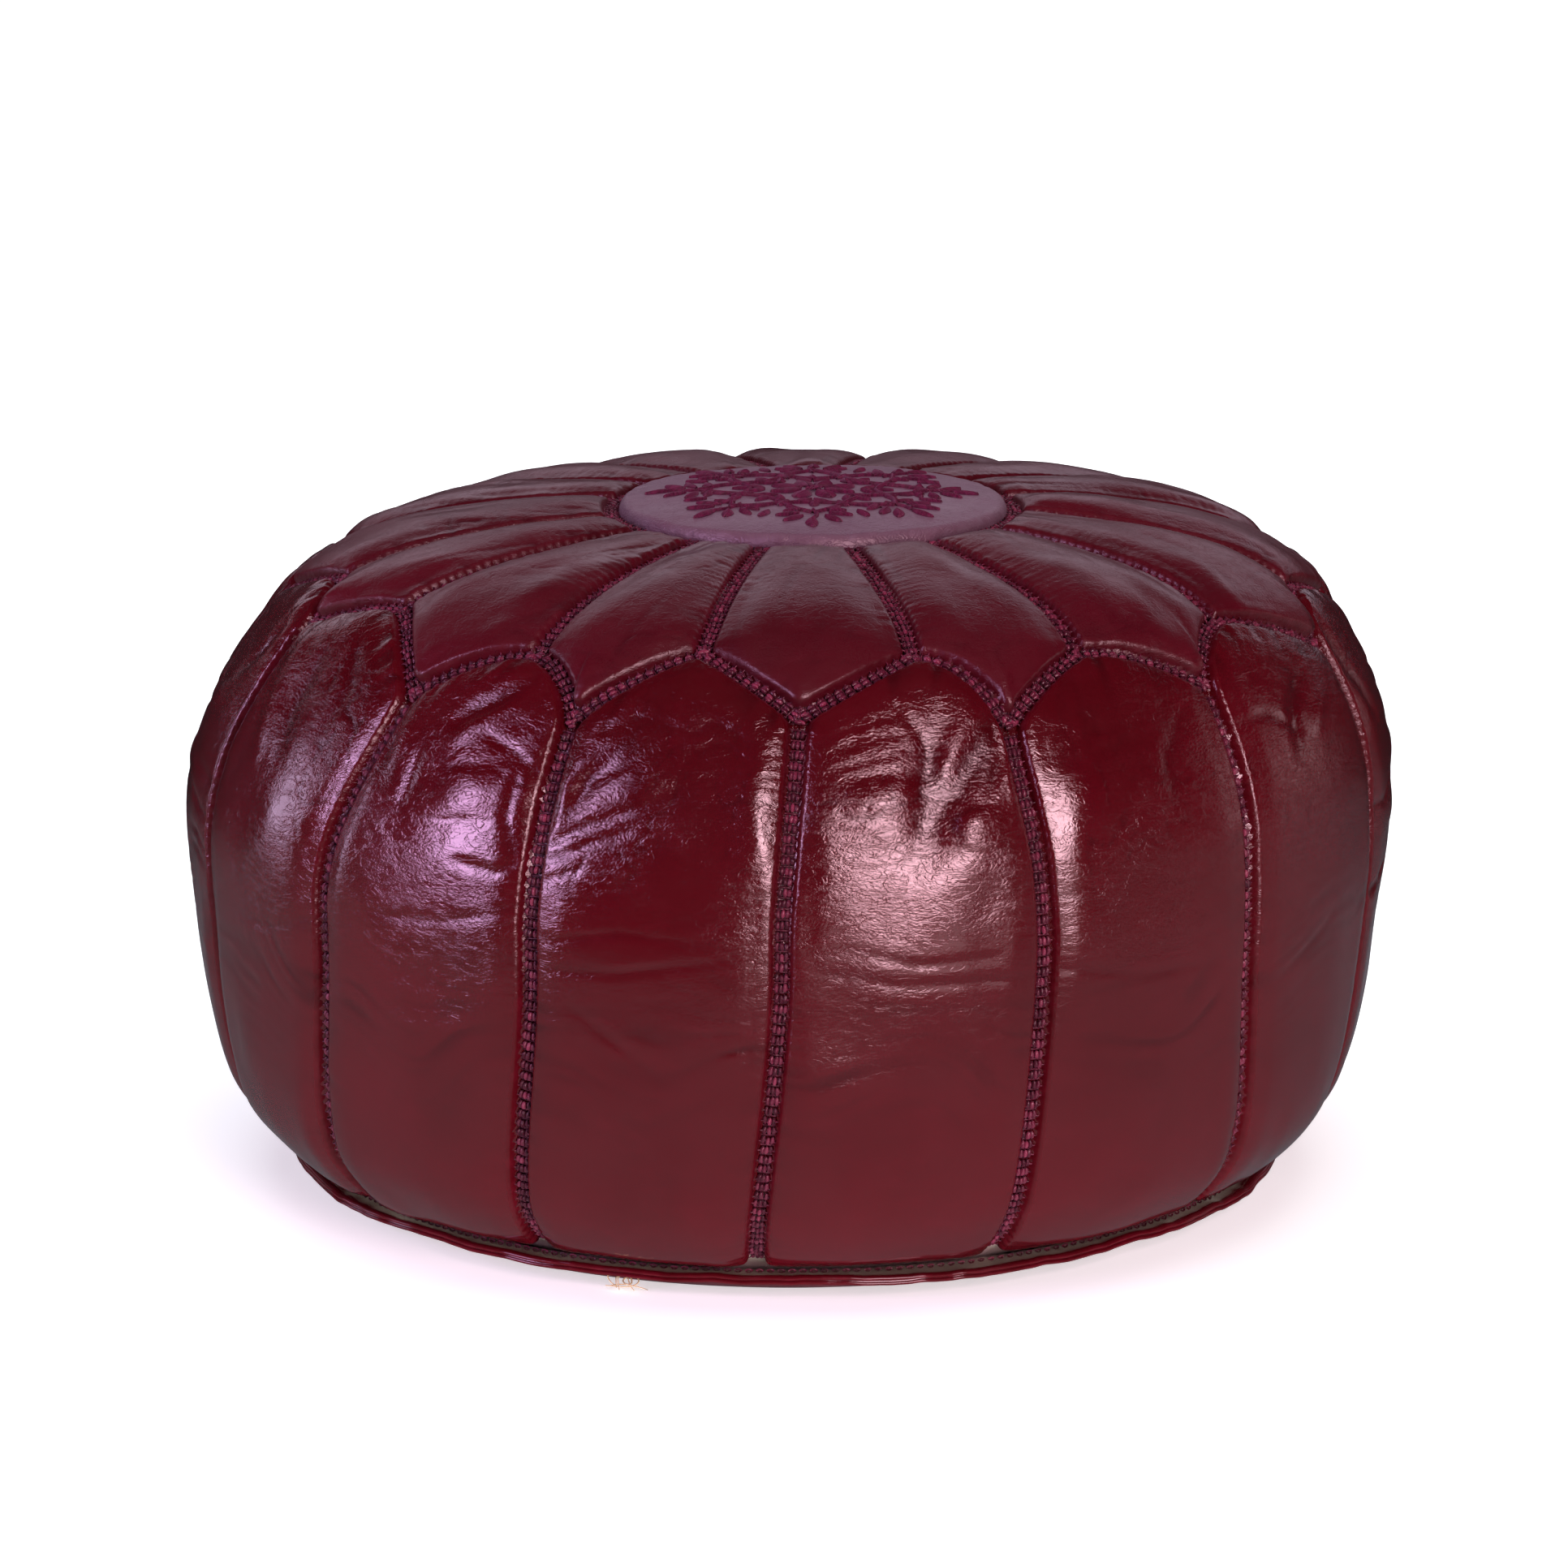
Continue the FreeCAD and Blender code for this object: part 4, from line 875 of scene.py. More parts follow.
class Path:
    """A seam line on the body with its own frame: t along, b across, n outwards."""

    def __init__(self, theta, s, off=0.0):
        p = surface(theta, s, off)
        q = surface(theta, s, off + 1.0)
        self.setup(p, q - p)

    def setup(self, p, n):
        seg = np.linalg.norm(np.diff(p, axis=0), axis=1)
        self.L = np.concatenate([[0], np.cumsum(seg)])
        t = np.gradient(p, axis=0)
        t /= np.linalg.norm(t, axis=1)[:, None]
        n = n - t * (n * t).sum(1)[:, None]
        n /= np.linalg.norm(n, axis=1)[:, None]
        b = np.cross(t, n)
        self.p, self.n, self.b, self.t = p, n, b, t
        self.length = float(self.L[-1])

    def at(self, tbn):
        t, b, n = tbn[..., 0], tbn[..., 1], tbn[..., 2]
        tc = np.clip(t, 0, self.length)
        def ip(arr):
            return np.stack([np.interp(tc, self.L, arr[:, i]) for i in range(3)], -1)
        return ip(self.p) + b[..., None] * ip(self.b) + n[..., None] * ip(self.n) + (t - tc)[..., None] * ip(self.t)


def lay_braid(name, paths, seed, nodes=(), pitch=4.5, jitter=0.12, rows=3, lift=0.0, ticks=True, knots=(), scale=1.0):
    """Blocks of fat strands bound by cross threads, along each path. All in one mesh."""
    rng = np.random.RandomState(seed)
    b = Builder()
    gp, gq, gt = GT
    for path in paths:
        count = max(2, int(round(path.length / pitch)))
        pt = path.length / count
        for i in range(count):
            t0 = (i + 0.5) * pt + rng.uniform(-0.15, 0.15)
            wide = 1.0 + rng.uniform(-0.07, 0.07)
            shift = rng.uniform(-0.2, 0.2)
            for j in range(rows):
                c = (j - (rows - 1) / 2.0)
                bc = c * 5.7 / rows * scale * wide + shift
                g = gp.copy()
                g[:, 0] *= pt / 4.5 * (1.0 + rng.uniform(-0.08, 0.08)) * 0.99
                g[:, 1] *= (3.0 / rows) * scale * (1.03 + rng.uniform(-0.08, 0.1))
                g[:, 2] *= 1.0 + rng.uniform(-0.1, 0.12)
                u = g[:, 0] / (pt * 0.5)
                # strands bow out in the middle of a block and draw together at the binding
                g[:, 1] += bc * (1.0 - 0.24 * np.clip(u * u, 0, 1.2)) + rng.uniform(-jitter, jitter) * 1.2
                g[:, 1] += u * rng.uniform(-0.22, 0.22)
                g[:, 2] += 0.42 * (1 - u * u) - 0.35 * abs(c) + rng.uniform(-0.18, 0.18) + u * rng.uniform(-0.15, 0.15)
                g[:, 0] += t0 + rng.uniform(-0.25, 0.25)
                g[:, 2] += -6.15 + lift
                base = b.n
                # tone: random per strand, and higher on the middle strand as a painted highlight on the crown of each
                # block
                b.add(path.at(g), gq, rng.uniform(0.0, 1.0) ** 1.6 * (1.0 if j == rows // 2 else 0.65))
                b.f.append(gt + base)
            # binding thread across the gap
            if i < count:
                tg = (i + 1.0) * pt + rng.uniform(-0.12, 0.12)
                reach = (3.55 if ticks else 2.9) * scale
                bb = np.linspace(-reach, reach, 9)
                nn = -7.35 + lift + 0.45 * np.cos(bb / reach * np.pi * 0.5) + np.where(np.abs(bb) > 2.9, 1.0, 0.0)
                pts = np.stack([tg + rng.uniform(-0.3, 0.3) * bb / reach, bb, nn], 1)
                # low tones on the binding thread: painted shade in the gap between blocks
                add_tube(b, path.at(pts), 0.46 + rng.uniform(0, 0.06), 6, tone_and_painted_light=rng.uniform(0, 0.4))
                # small stitch ends that bite into the leather edge
                if ticks:
                    for sg in (-1, 1):
                        tb = t0 + rng.uniform(-0.5, 0.5)
                        q = np.array([[tb, sg * 2.3, -5.8], [tb + 0.1, sg * 2.95, -5.2], [tb + 0.15, sg * 3.65, -5.15],
                                      [tb + 0.2, sg * 4.15, -5.9]])
                        q[:, 2] += lift
                        add_tube(b, path.at(q), 0.30, 5, tone_and_painted_light=rng.uniform(0, 0.6))
    for path, tpos, num in knots:
        for _ in range(num):
            g = gp.copy() * rng.uniform(0.75, 1.0)
            ang = rng.uniform(0, np.pi)
            x, y = g[:, 0].copy(), g[:, 1].copy()
            g[:, 0] = x * np.cos(ang) - y * np.sin(ang)
            g[:, 1] = x * np.sin(ang) + y * np.cos(ang)
            g[:, 0] += tpos + rng.uniform(-2.6, 2.6)
            g[:, 1] += rng.uniform(-2.4, 2.4)
            g[:, 2] += -5.9 + lift + rng.uniform(-0.1, 0.7)
            base = b.n
            b.add(path.at(g), gq, rng.uniform(0.0, 1.0) ** 1.5)
            b.f.append(gt + base)
    o = b.build(name, BRAID)
    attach(o, "pouf")
    if nodes:
        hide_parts(*nodes)
    return o


for k in range(N):
    s = np.linspace(S_WELT + 5.0, S_VALLEY + VALLEY_RISE[k] - 5.0, 160)
    lay_braid("braid_side_%02d" % (k + 1), [Path(seam_angle(k, s), s)], 40 + k, ("side_seam_braids",))
for k in range(N):
    u = np.linspace(0.004, 0.996, 120)
    a, s = arch(k, u)
    p = Path(a, s)
    lay_braid("braid_zigzag_%02d" % (k + 1), [p], 140 + k, ("zigzag_seam_braids",), pitch=4.3, jitter=0.3, lift=0.3,
              knots=[(p, 0.0, 7), (p, float(np.interp(0.5, u, p.L)), 6)])
for k in range(N):
    s = np.linspace(S_PEAK + PEAK_RISE[k] + 3.2, S_RING - 3.2, 140)
    lay_braid("braid_radial_%02d" % (k + 1), [Path(radial_angle(k, s), s)], 240 + k, ("radial_seam_braids",), pitch=4.4)

# ring round the medallion
t = np.linspace(0, 2 * np.pi, 721)
ring = np.stack([RING_X + RING_R * np.sin(t), -RING_R * np.cos(t), np.full_like(t, float(_prof_z(S_RING)))], 1)
rp = Path.__new__(Path)
rp.setup(ring, np.tile([0.0, 0.0, 1.0], (len(t), 1)))
lay_braid("braid_medallion_ring", [rp], 340, ("medallion_seam_braid",), pitch=4.35, jitter=0.2)


# ------------------------------------------------------------------ medallion
def build_medallion():
    nt, nr = 384, 90
    rr = np.concatenate([np.linspace(0.0, 74.0, 62)[1:], 74.0 + (MED_R - 74.0) * np.sin(np.linspace(0, np.pi / 2, 29))[1:]])
    th = np.arange(nt) * 2 * np.pi / nt
    T, Rr = np.meshgrid(th, rr, indexing="ij")
    x, y = Rr * np.sin(T), -Rr * np.cos(T)
    e = np.clip((Rr - 80.8) / (MED_R - 80.8), 0, 1)
    z = MED_TOP - 3.4 * (Rr / 81.0) ** 4 - 4.6 * (1 - np.sqrt(np.clip(1 - e ** 2.4, 0, 1)))
    z = z + 0.45 * noise(x / 34.0, y / 34.0, 77) * (1 - e) + 0.3 * noise(x / 15.0, y / 15.0, 78) * (1 - e)
    z = z - 0.22 * crease(x / 16.0, y / 16.0, 79, 0.08) * np.clip(noise(x / 26, y / 26, 80) + 0.2, 0, 1) * (1 - e)
    # gathered edge
    g = smooth((Rr - 68.0) / 12.0)
    z = z + 0.22 * g * noise(RING_R * np.sin(T) / 5.2, -RING_R * np.cos(T) / 5.2 + Rr / 30.0, 81)
    top = np.stack([x + RING_X, y, z], -1)
    bot = np.stack([x + RING_X, y, z - LEATHER * 0.9], -1)[:, ::4][::4]
    verts = np.concatenate([top.reshape(-1, 3), [[RING_X, 0, MED_TOP + 0.1]]])
    nrr = len(rr)
    faces = [grid_quads(nt, nrr, wrap_u=True)]
    c = nt * nrr
    i = np.arange(nt)
    faces.append(np.stack([np.full(nt, c), i * nrr, ((i + 1) % nt) * nrr], 1))
    # underside
    mt, mr = bot.shape[:2]
    b0 = len(verts)
    verts = np.concatenate([verts, bot.reshape(-1, 3), [[RING_X, 0, MED_TOP - LEATHER]]])
    faces.append(grid_quads(mt, mr, base=b0, wrap_u=True, flip=True))
    c2 = b0 + mt * mr
    j = np.arange(mt)
    faces.append(np.stack([np.full(mt, c2), b0 + ((j + 1) % mt) * mr, b0 + j * mr], 1))
    rim = []
    for q in range(mt):
        fine = [((q * 4 + w) % nt) * nrr + nrr - 1 for w in range(5)]
        rim.append(fine + [b0 + ((q + 1) % mt) * mr + mr - 1, b0 + q * mr + mr - 1])
    faces.append(np.array(rim))
    edge = np.zeros(len(verts))
    edge[:nt * nrr] = np.exp(-((MED_R - Rr) / 3.0) ** 2).ravel()
    o = make_mesh("leather_medallion", verts, faces, {"edge": edge, "relief": np.zeros(len(verts))}, material=MEDAL)
    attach(o, "pouf")
    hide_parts("medallion")


build_medallion()


# ------------------------------------------------------------------ embroidery
EZ = MED_TOP + 0.25


def stem_line(pts, n=40):
    """Smooth curve through points (Catmull-Rom)."""
    p = np.array(pts, float)
    p = np.concatenate([[2 * p[0] - p[1]], p, [2 * p[-1] - p[-2]]])
    out = []
    for i in range(1, len(p) - 2):
        t = np.linspace(0, 1, n, endpoint=False)[:, None]
        a, b_, c, d = p[i - 1], p[i], p[i + 1], p[i + 2]
        out.append(0.5 * ((2 * b_) + (-a + c) * t + (2 * a - 5 * b_ + 4 * c - d) * t ** 2 + (-a + 3 * b_ - 3 * c + d) * t ** 3))
    out.append(p[-2][None, :])
    return np.concatenate(out)


def sew_stem(b, pts, rng, width=1.5, spacing=0.62, height=0.75):
    """Couched stem: slanted stitches along a line."""
    line = stem_line(pts, 30)
    seg = np.hypot(*np.diff(line, axis=0).T)
    L = np.concatenate([[0], np.cumsum(seg)])
    for t in np.arange(0.2, L[-1], spacing):
        x, y = np.interp(t, L, line[:, 0]), np.interp(t, L, line[:, 1])
        x2, y2 = np.interp(t + 0.3, L, line[:, 0]), np.interp(t + 0.3, L, line[:, 1])
        d = np.array([x2 - x, y2 - y])
        d /= np.linalg.norm(d) + 1e-9
        nrm = np.array([-d[1], d[0]])
        w = width * 0.5 * (1 + rng.uniform(-0.12, 0.12))
        q = np.linspace(-1, 1, 6)
        px = x + nrm[0] * q * w + d[0] * q * 0.55
        py = y + nrm[1] * q * w + d[1] * q * 0.55
        pz = EZ + height * (1 - q ** 2) - 0.35 * q ** 4 + rng.uniform(-0.05, 0.05)
        add_tube(b, np.stack([px + RING_X, py, pz], 1), 0.29, 5, tone_and_painted_light=rng.uniform(0, 1) ** 1.4)


def sew_leaf(b, cx, cy, length, width, ang, rng, spacing=0.55, height=1.05, vein=True):
    """Leaf of satin stitches slanting from its mid rib."""
    a = math.radians(ang)
    ca, sa = math.cos(a), math.sin(a)
    bend = rng.uniform(-0.12, 0.12)
    for t in np.arange(0.03, 0.985, spacing / length):
        half = 0.5 * width * math.sin(math.pi * t ** 0.8) ** 0.75
        if half < 0.25:
            continue
        for sg in ((1, -1) if vein else (1,)):
            q = np.linspace(0 if vein else -1, 1, 6)
            lx = (t - 0.5) * length + q * half * 0.55
            ly = sg * q * half + bend * width * math.sin(math.pi * t)
            lz = EZ + height * (1 - np.abs(q) ** 1.8) * (0.55 + 0.45 * math.sin(math.pi * t)) - 0.3 * np.abs(q) ** 5
            px = cx + lx * ca - ly * sa
            py = cy + lx * sa + ly * ca
            add_tube(b, np.stack([px + RING_X, py, lz], 1), 0.30 + rng.uniform(-0.02, 0.03), 5, tone_and_painted_light=rng.uniform(0, 1) ** 1.3)


def build_embroidery():
    rng = np.random.RandomState(900)
    b = Builder()
    # central flower: eight broad petals and a knotted heart
    for i in range(8):
        a = 45.0 * i + 22.5 + rng.uniform(-3, 3)
        r = 12.2
        sew_leaf(b, r * math.cos(math.radians(a)), r * math.sin(math.radians(a)), 14.5, 8.2, a, rng, 0.55, 1.3)
    for i in range(26):
        ang, rad = rng.uniform(0, 2 * np.pi), 3.8 * math.sqrt(rng.uniform(0, 1))
        t = np.linspace(0, 1.5 * np.pi, 8)
        x, y = rad * math.cos(ang), rad * math.sin(ang)
        pts = np.stack([RING_X + x + 0.55 * np.cos(t + ang), y + 0.55 * np.sin(t + ang), EZ + 0.6 + 0.35 * np.sin(t)], 1)
        add_tube(b, pts, 0.33, 5, tone_and_painted_light=rng.uniform(0.2, 1))
    # interlaced stems: two turned squares with bowed sides make an eight-pointed star
    for sq in range(2):
        for i in range(4):
            a0, a1 = math.radians(45 * sq + 90 * i), math.radians(45 * sq + 90 * (i + 1))
            p0 = (50 * math.cos(a0), 50 * math.sin(a0))
            p1 = (50 * math.cos(a1), 50 * math.sin(a1))
            am = 0.5 * (a0 + a1)
            mid = (27.5 * math.cos(am), 27.5 * math.sin(am))
            q0 = tuple(0.62 * np.array(p0) + 0.38 * np.array(mid) + 2.0 * np.array([math.cos(a0 + 1.2), math.sin(a0 + 1.2)]))
            q1 = tuple(0.62 * np.array(p1) + 0.38 * np.array(mid) + 2.0 * np.array([math.cos(a1 - 1.2), math.sin(a1 - 1.2)]))
            sew_stem(b, [p0, q0, mid, q1, p1], rng, 2.0, 0.62, 0.95)
    # leaf sprays at the points of the star, and tendrils between
    for i in range(8):
        a = 45.0 * i
        big = i % 2 == 0
        rad = math.radians(a)
        tip = 60.0
        stem = [(44 * math.cos(rad), 44 * math.sin(rad)), (53 * math.cos(rad + 0.03), 53 * math.sin(rad + 0.03)),
                (tip * math.cos(rad), tip * math.sin(rad))]
        sew_stem(b, stem, rng, 1.4)
        for r, da, ln, wd, tilt in ((66.5, 0, 13.0, 5.0, 0), (60.5, -7.5, 12.5, 4.6, -30), (60.5, 7.5, 12.5, 4.6, 30),
                                    (54.0, -11.5, 12.0, 4.6, -52), (54.0, 11.5, 12.0, 4.6, 52),
                                    (46.5, -11.0, 10.0, 4.2, -64), (46.5, 11.0, 10.0, 4.2, 64)):
            da2, tl = da + rng.uniform(-1, 1), tilt + rng.uniform(-5, 5)
            bb = math.radians(a + da2)
            sew_leaf(b, r * math.cos(bb), r * math.sin(bb), ln * rng.uniform(0.92, 1.06), wd * rng.uniform(0.9, 1.1),
                     a + da2 + tl, rng, 0.58, 0.95)
    for i in range(8):
        a = 45.0 * i + 22.5
        for sg in (-1, 1):
            pts = []
            for t in np.linspace(0, 1, 7):
                ang = math.radians(a + sg * (2 + 12 * t))
                rr = 36 + 13 * t - 5 * math.sin(math.pi * t)
                pts.append((rr * math.cos(ang), rr * math.sin(ang)))
            sew_stem(b, pts, rng, 1.15, 0.6, 0.6)
            end = math.radians(a + sg * 10)
            sew_leaf(b, 42 * math.cos(end), 42 * math.sin(end), 8.5, 3.6, a + sg * 55, rng, 0.55, 0.8)
        sew_leaf(b, 33.5 * math.cos(math.radians(a)), 33.5 * math.sin(math.radians(a)), 11.5, 5.0, a, rng, 0.55, 0.95)
        sew_leaf(b, 55.0 * math.cos(math.radians(a)), 55.0 * math.sin(math.radians(a)), 11.0, 4.4, a, rng, 0.55, 0.9)
    for i in range(8):
        a = 45.0 * i
        for r, da, tl in ((24.5, -9, -38), (24.5, 9, 38), (30.5, 0, 0)):
            bb = math.radians(a + da)
            sew_leaf(b, r * math.cos(bb), r * math.sin(bb), 9.5, 4.2, a + da + tl, rng, 0.55, 0.9)
    b.settle(lambda v: 3.4 * (np.hypot(v[:, 0] - RING_X, v[:, 1]) / 81.0) ** 4
             - 0.45 * noise((v[:, 0] - RING_X) / 34.0, v[:, 1] / 34.0, 77) - 0.3 * noise((v[:, 0] - RING_X) / 15.0, v[:, 1] / 15.0, 78))
    o = b.build("embroidery_medallion", EMBR)
    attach(o, "pouf")
    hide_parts("medallion_embroidery")


build_embroidery()


# ------------------------------------------------------------------ base welt: a folded double lip
def build_welt():
    nt = 960
    sec = np.array([(208.6, 10.4), (211.0, 10.9), (214.5, 10.9), (218.0, 10.8), (220.2, 10.6), (221.3, 10.0), (221.4, 9.3),
                    (220.8, 8.8), (219.6, 8.65), (220.8, 8.3), (221.2, 7.7), (220.9, 7.0), (219.4, 6.6), (216.0, 6.5),
                    (212.0, 6.5), (209.0, 6.7)])
    th = np.arange(nt) * 2 * np.pi / nt
    T = th[:, None]
    arc = T * 215.0
    r = sec[None, :, 0] + 0 * T
    z = sec[None, :, 1] + 0 * T
    out = smooth((r - 210.0) / 9.0)
    loop = 2 * np.pi * 215.0
    def per(w, seed):
        """Noise that closes on itself round the ring."""
        n_ = round(loop / w)
        x = T / (2 * np.pi) * n_
        f = x - np.floor(x)
        f = f * f * (3 - 2 * f)
        i0 = np.floor(x) % n_
        i1 = (i0 + 1) % n_
        return _hash(i0, i0 * 0 + 3, seed) * (1 - f) + _hash(i1, i1 * 0 + 3, seed) * f
    wave = 0.9 * per(46.0, 5) + 0.5 * per(17.0, 6)
    r = r + out * (0.9 * per(38.0, 7) + 0.4 * per(11.0, 8))
    z = z + out * wave * 1.15 + out * 0.25 * per(6.0, 9)
    lay = np.where(np.arange(len(sec))[None, :] < 8, 1, 0)
    z = z + lay * out * 0.35 * np.maximum(per(21.0, 10), 0)
    z = np.maximum(z, 0.6)
    v = np.stack([r * np.sin(T), -r * np.cos(T), z], -1)
    faces = [grid_quads(nt, len(sec), wrap_u=True, wrap_v=True, flip=True)]
    edge = np.tile(np.exp(-((221.3 - sec[:, 0]) / 2.0) ** 2), nt)
    o = make_mesh("leather_base_welt", v, faces, {"edge": edge, "relief": np.zeros(len(edge))}, material=SIDE)
    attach(o, "pouf")
    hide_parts("base_welt")
    # seam stitches just under the lip
    rng = np.random.RandomState(77)
    b = Builder()
    n_st = 300
    for i in range(n_st):
        a0 = 2 * np.pi * i / n_st
        a1 = a0 + 2 * np.pi / n_st * 0.62
        ts = np.linspace(a0, a1, 4)
        rr = np.array([212.6, 213.1, 213.1, 212.6]) + 0.0
        zz = np.array([11.0, 11.75, 11.75, 11.0]) - 0.2 + 0.6 * out[0, 3] * np.interp(ts, th, wave[:, 0])
        add_tube(b, np.stack([rr * np.sin(ts), -rr * np.cos(ts), zz], 1), 0.38, 5, tone_and_painted_light=rng.uniform(0, 1))
    o = b.build("stitches_base_welt", BRAID)
    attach(o, "pouf")


build_welt()


# ------------------------------------------------------------------ base halves
HAT_Y, HAT_H = [0.0, 12.0, 18.0, 24.0, 30.0, 36.0], [1.0, 1.0, 0.87, 0.5, 0.13, 0.0]
FADE_X, FADE_H = [-192.0, -186.0, -180.0, -174.0, -168.0, 168.0, 174.0, 180.0, 186.0, 192.0], [0, 0.13, 0.5, 0.87, 1, 1, 0.87, 0.5, 0.13, 0]


def base_z(x, y):
    h = 9.0 * np.interp(np.abs(y), HAT_Y, HAT_H) * np.interp(x, FADE_X, FADE_H)
    r = np.hypot(x, y)
    rim = np.interp(r, [0, 200.0, 203.0, 205.15, 207.5, 209.0], [0, 0, 0.45, 1.34, 3.1, 5.0])
    return np.maximum(h * (r < 205), 0) + rim


def build_base(sign, name, node):
    nt, nv = 281, 81
    # nodes along the middle line crowd at the ends of the slot
    t = np.linspace(0, 1, nt)
    ang = np.pi * (1 - t)
    xin = 208.9 * np.cos(ang)
    yin = np.where(np.abs(xin) < 167.5, 7.05, 0.3)
    # snap the columns beside the slot end so that it stays square
    for xe in (-168.0, 168.0):
        i = np.argmin(np.abs(xin - xe))
        xin[i] = xe
        yin[i] = 7.05
    outx, outy = 209.0 * np.cos(ang), np.maximum(209.0 * np.sin(ang), 0.3)
    v = np.linspace(0, 1, nv)
    v = v + 0.0
    X = xin[:, None] + (outx - xin)[:, None] * v[None, :]
    Y = yin[:, None] + (outy - yin)[:, None] * v[None, :]
    Z = base_z(X, Y)
    R = np.hypot(X, Y)
    calm = smooth((R - 20) / 40.0) * smooth((207.0 - R) / 14.0)
    wr = 0.75 * np.clip(noise(X / 26.0, Y / 20.0, 411 + sign), 0, 1) + 0.5 * np.clip(noise(X / 9.0, Y / 12.0, 415 + sign), 0, 1)
    near = smooth((Y - 16.0) / 14.0)
    Z = Z + wr * calm * near * 0.8
    Z = Z + 0.35 * noise(X / 7.0, 3.0, 420 + sign) * smooth((14.0 - Y) / 6.0) * smooth((Y - 7.0) / 1.0) * np.interp(X, FADE_X, FADE_H)
    Z = np.maximum(Z, 0.0)
    low = np.stack([X, sign * Y, Z], -1)
    high = np.stack([X, sign * Y, Z + LEATHER], -1)
    verts, faces = closed_panel(low, high)
    if sign > 0:
        faces = [f[:, ::-1] for f in faces]
    edge = np.exp(-(((Y - 7.05) / 2.0) ** 2)) * (np.abs(X) < 168)
    ni = len(verts) - edge.size
    rel = np.clip(wr * 0.8 - 0.4, -1, 1)
    o = make_mesh(name, verts, faces, {"edge": np.concatenate([edge.ravel(), np.zeros(ni)]),
                                       "relief": np.concatenate([rel.ravel(), np.zeros(ni)])}, material=BASE)
    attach(o, "pouf")
    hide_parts(node)
    return o


build_base(1, "leather_base_back", "base_half_back")
build_base(-1, "leather_base_front", "base_half_front")


def zip_stitches():
    rng = np.random.RandomState(55)
    b = Builder()
    for sg in (-1, 1):
        for row in (9.2, 11.4):
            for x in np.arange(-164.0, 164.0, 3.4):
                xs = np.array([x, x + 0.4, x + 2.1, x + 2.5])
                ys = np.full(4, sg * row) + rng.uniform(-0.12, 0.12)
                zs = base_z(xs, np.abs(ys)) + np.array([0.35, -0.22, -0.22, 0.35])
                add_tube(b, np.stack([xs, ys, zs], 1), 0.34, 5, tone_and_painted_light=rng.uniform(0, 1))
    o = b.build("stitches_zip", BRAID)
    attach(o, "pouf")


zip_stitches()


# ------------------------------------------------------------------ zip
def tape_material():
    m = Mat("zip_tape")
    warp = m.wave(420.0, 0.4, "Y")
    weft = m.wave(300.0, 0.4, "X")
    w = m.math("MULTIPLY", warp, weft)
    col = m.mix(m.remap(w, 0.1, 0.9, 0.0, 1.0), rgba(0.035, 0.004, 0.008), rgba(0.085, 0.008, 0.016))
    m.set("Base Color", m.mix(m.remap(m.noise(60.0), 0.4, 0.7, 0, 0.4), col, rgba(0.05, 0.012, 0.016)))
    m.set("Roughness", m.remap(m.noise(200.0), 0.3, 0.7, 0.7, 0.9))
    m.set("Sheen Weight", 0.25)
    m.set("Normal", m.bump(w, 0.7, 0.00035))
    return m.m


def coil_material():
    m = Mat("zip_coil")
    m.set("Base Color", m.mix(m.remap(m.noise(300.0), 0.35, 0.7, 0, 1), rgba(0.05, 0.004, 0.009), rgba(0.10, 0.012, 0.02)))
    m.set("Roughness", m.remap(m.noise(120.0), 0.3, 0.7, 0.25, 0.42))
    m.set("Specular IOR Level", 0.5)
    m.set("Normal", m.bump(m.noise(2500.0, 2.0), 0.2, 0.0001))
    return m.m


def brass_material():
    m = Mat("zip_metal")
    wear = m.remap(m.noise(220.0, 5.0, 0.65), 0.42, 0.66, 0.0, 1.0)
    tarnish = m.remap(m.noise(70.0, 4.0, 0.6, 0.8), 0.45, 0.7, 0.0, 0.75)
    col = m.mix(wear, rgba(0.62, 0.40, 0.13), rgba(0.78, 0.56, 0.24))
    m.set("Base Color", m.mix(tarnish, col, rgba(0.24, 0.14, 0.06)))
    m.set("Metallic", 1.0)
    m.set("Roughness", m.math("ADD", m.remap(tarnish, 0, 0.75, 0.22, 0.5), m.remap(m.noise(900.0), 0.3, 0.7, -0.04, 0.05)))
    scratch = m.noise(1.0, 3.0, 0.6, 0.0, m.mapping((300.0, 2600.0, 2600.0)))
    m.set("Normal", m.bump(m.noise(400.0, 4.0), 0.15, 0.0002, m.bump(scratch, 0.25, 0.00008)))
    return m.m


TAPE, COIL, BRASS = tape_material(), coil_material(), brass_material()
SX = 146.0


def splay(x):
    return 2.0 * smooth((x - (SX - 2.0)) / 6.0)


def build_tape(sign, name, node):
    xs = np.concatenate([np.arange(-164.0, 130.0, 2.0), np.arange(130.0, 166.01, 0.75)])
    q = np.linspace(0, 1, 22)
    X, Q = np.meshgrid(xs, q, indexing="ij")
    y0 = 3.14 + splay(X)
    Y = y0 + (16.0 - y0) * Q
    rib = 0.10 * np.cos(2 * np.pi * X / 1.6) * 0.6
    zb = 11.38 + 0.05 * noise(X / 9.0, Q * 3, 611 + sign) - 0.04 + rib * 0.4
    zt = np.full_like(X, 12.03) + rib * 0.2
    bot = np.stack([X, sign * Y, zb], -1)
    top = np.stack([X, sign * Y, zt], -1)
    # columns count trimmed to one more than a multiple of three, for the closed panel's step of three
    nx = (len(xs) - 1) // 3 * 3 + 1
    bot, top = bot[:nx], top[:nx]
    verts, faces = closed_panel(bot, top, step=3)
    if sign > 0:
        faces = [f[:, ::-1] for f in faces]
    o = make_mesh(name, verts, faces, material=TAPE)
    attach(o, "pouf")
    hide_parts(node)


build_tape(1, "zip_tape_cloth_back", "zip_tape_back")
build_tape(-1, "zip_tape_cloth_front", "zip_tape_front")


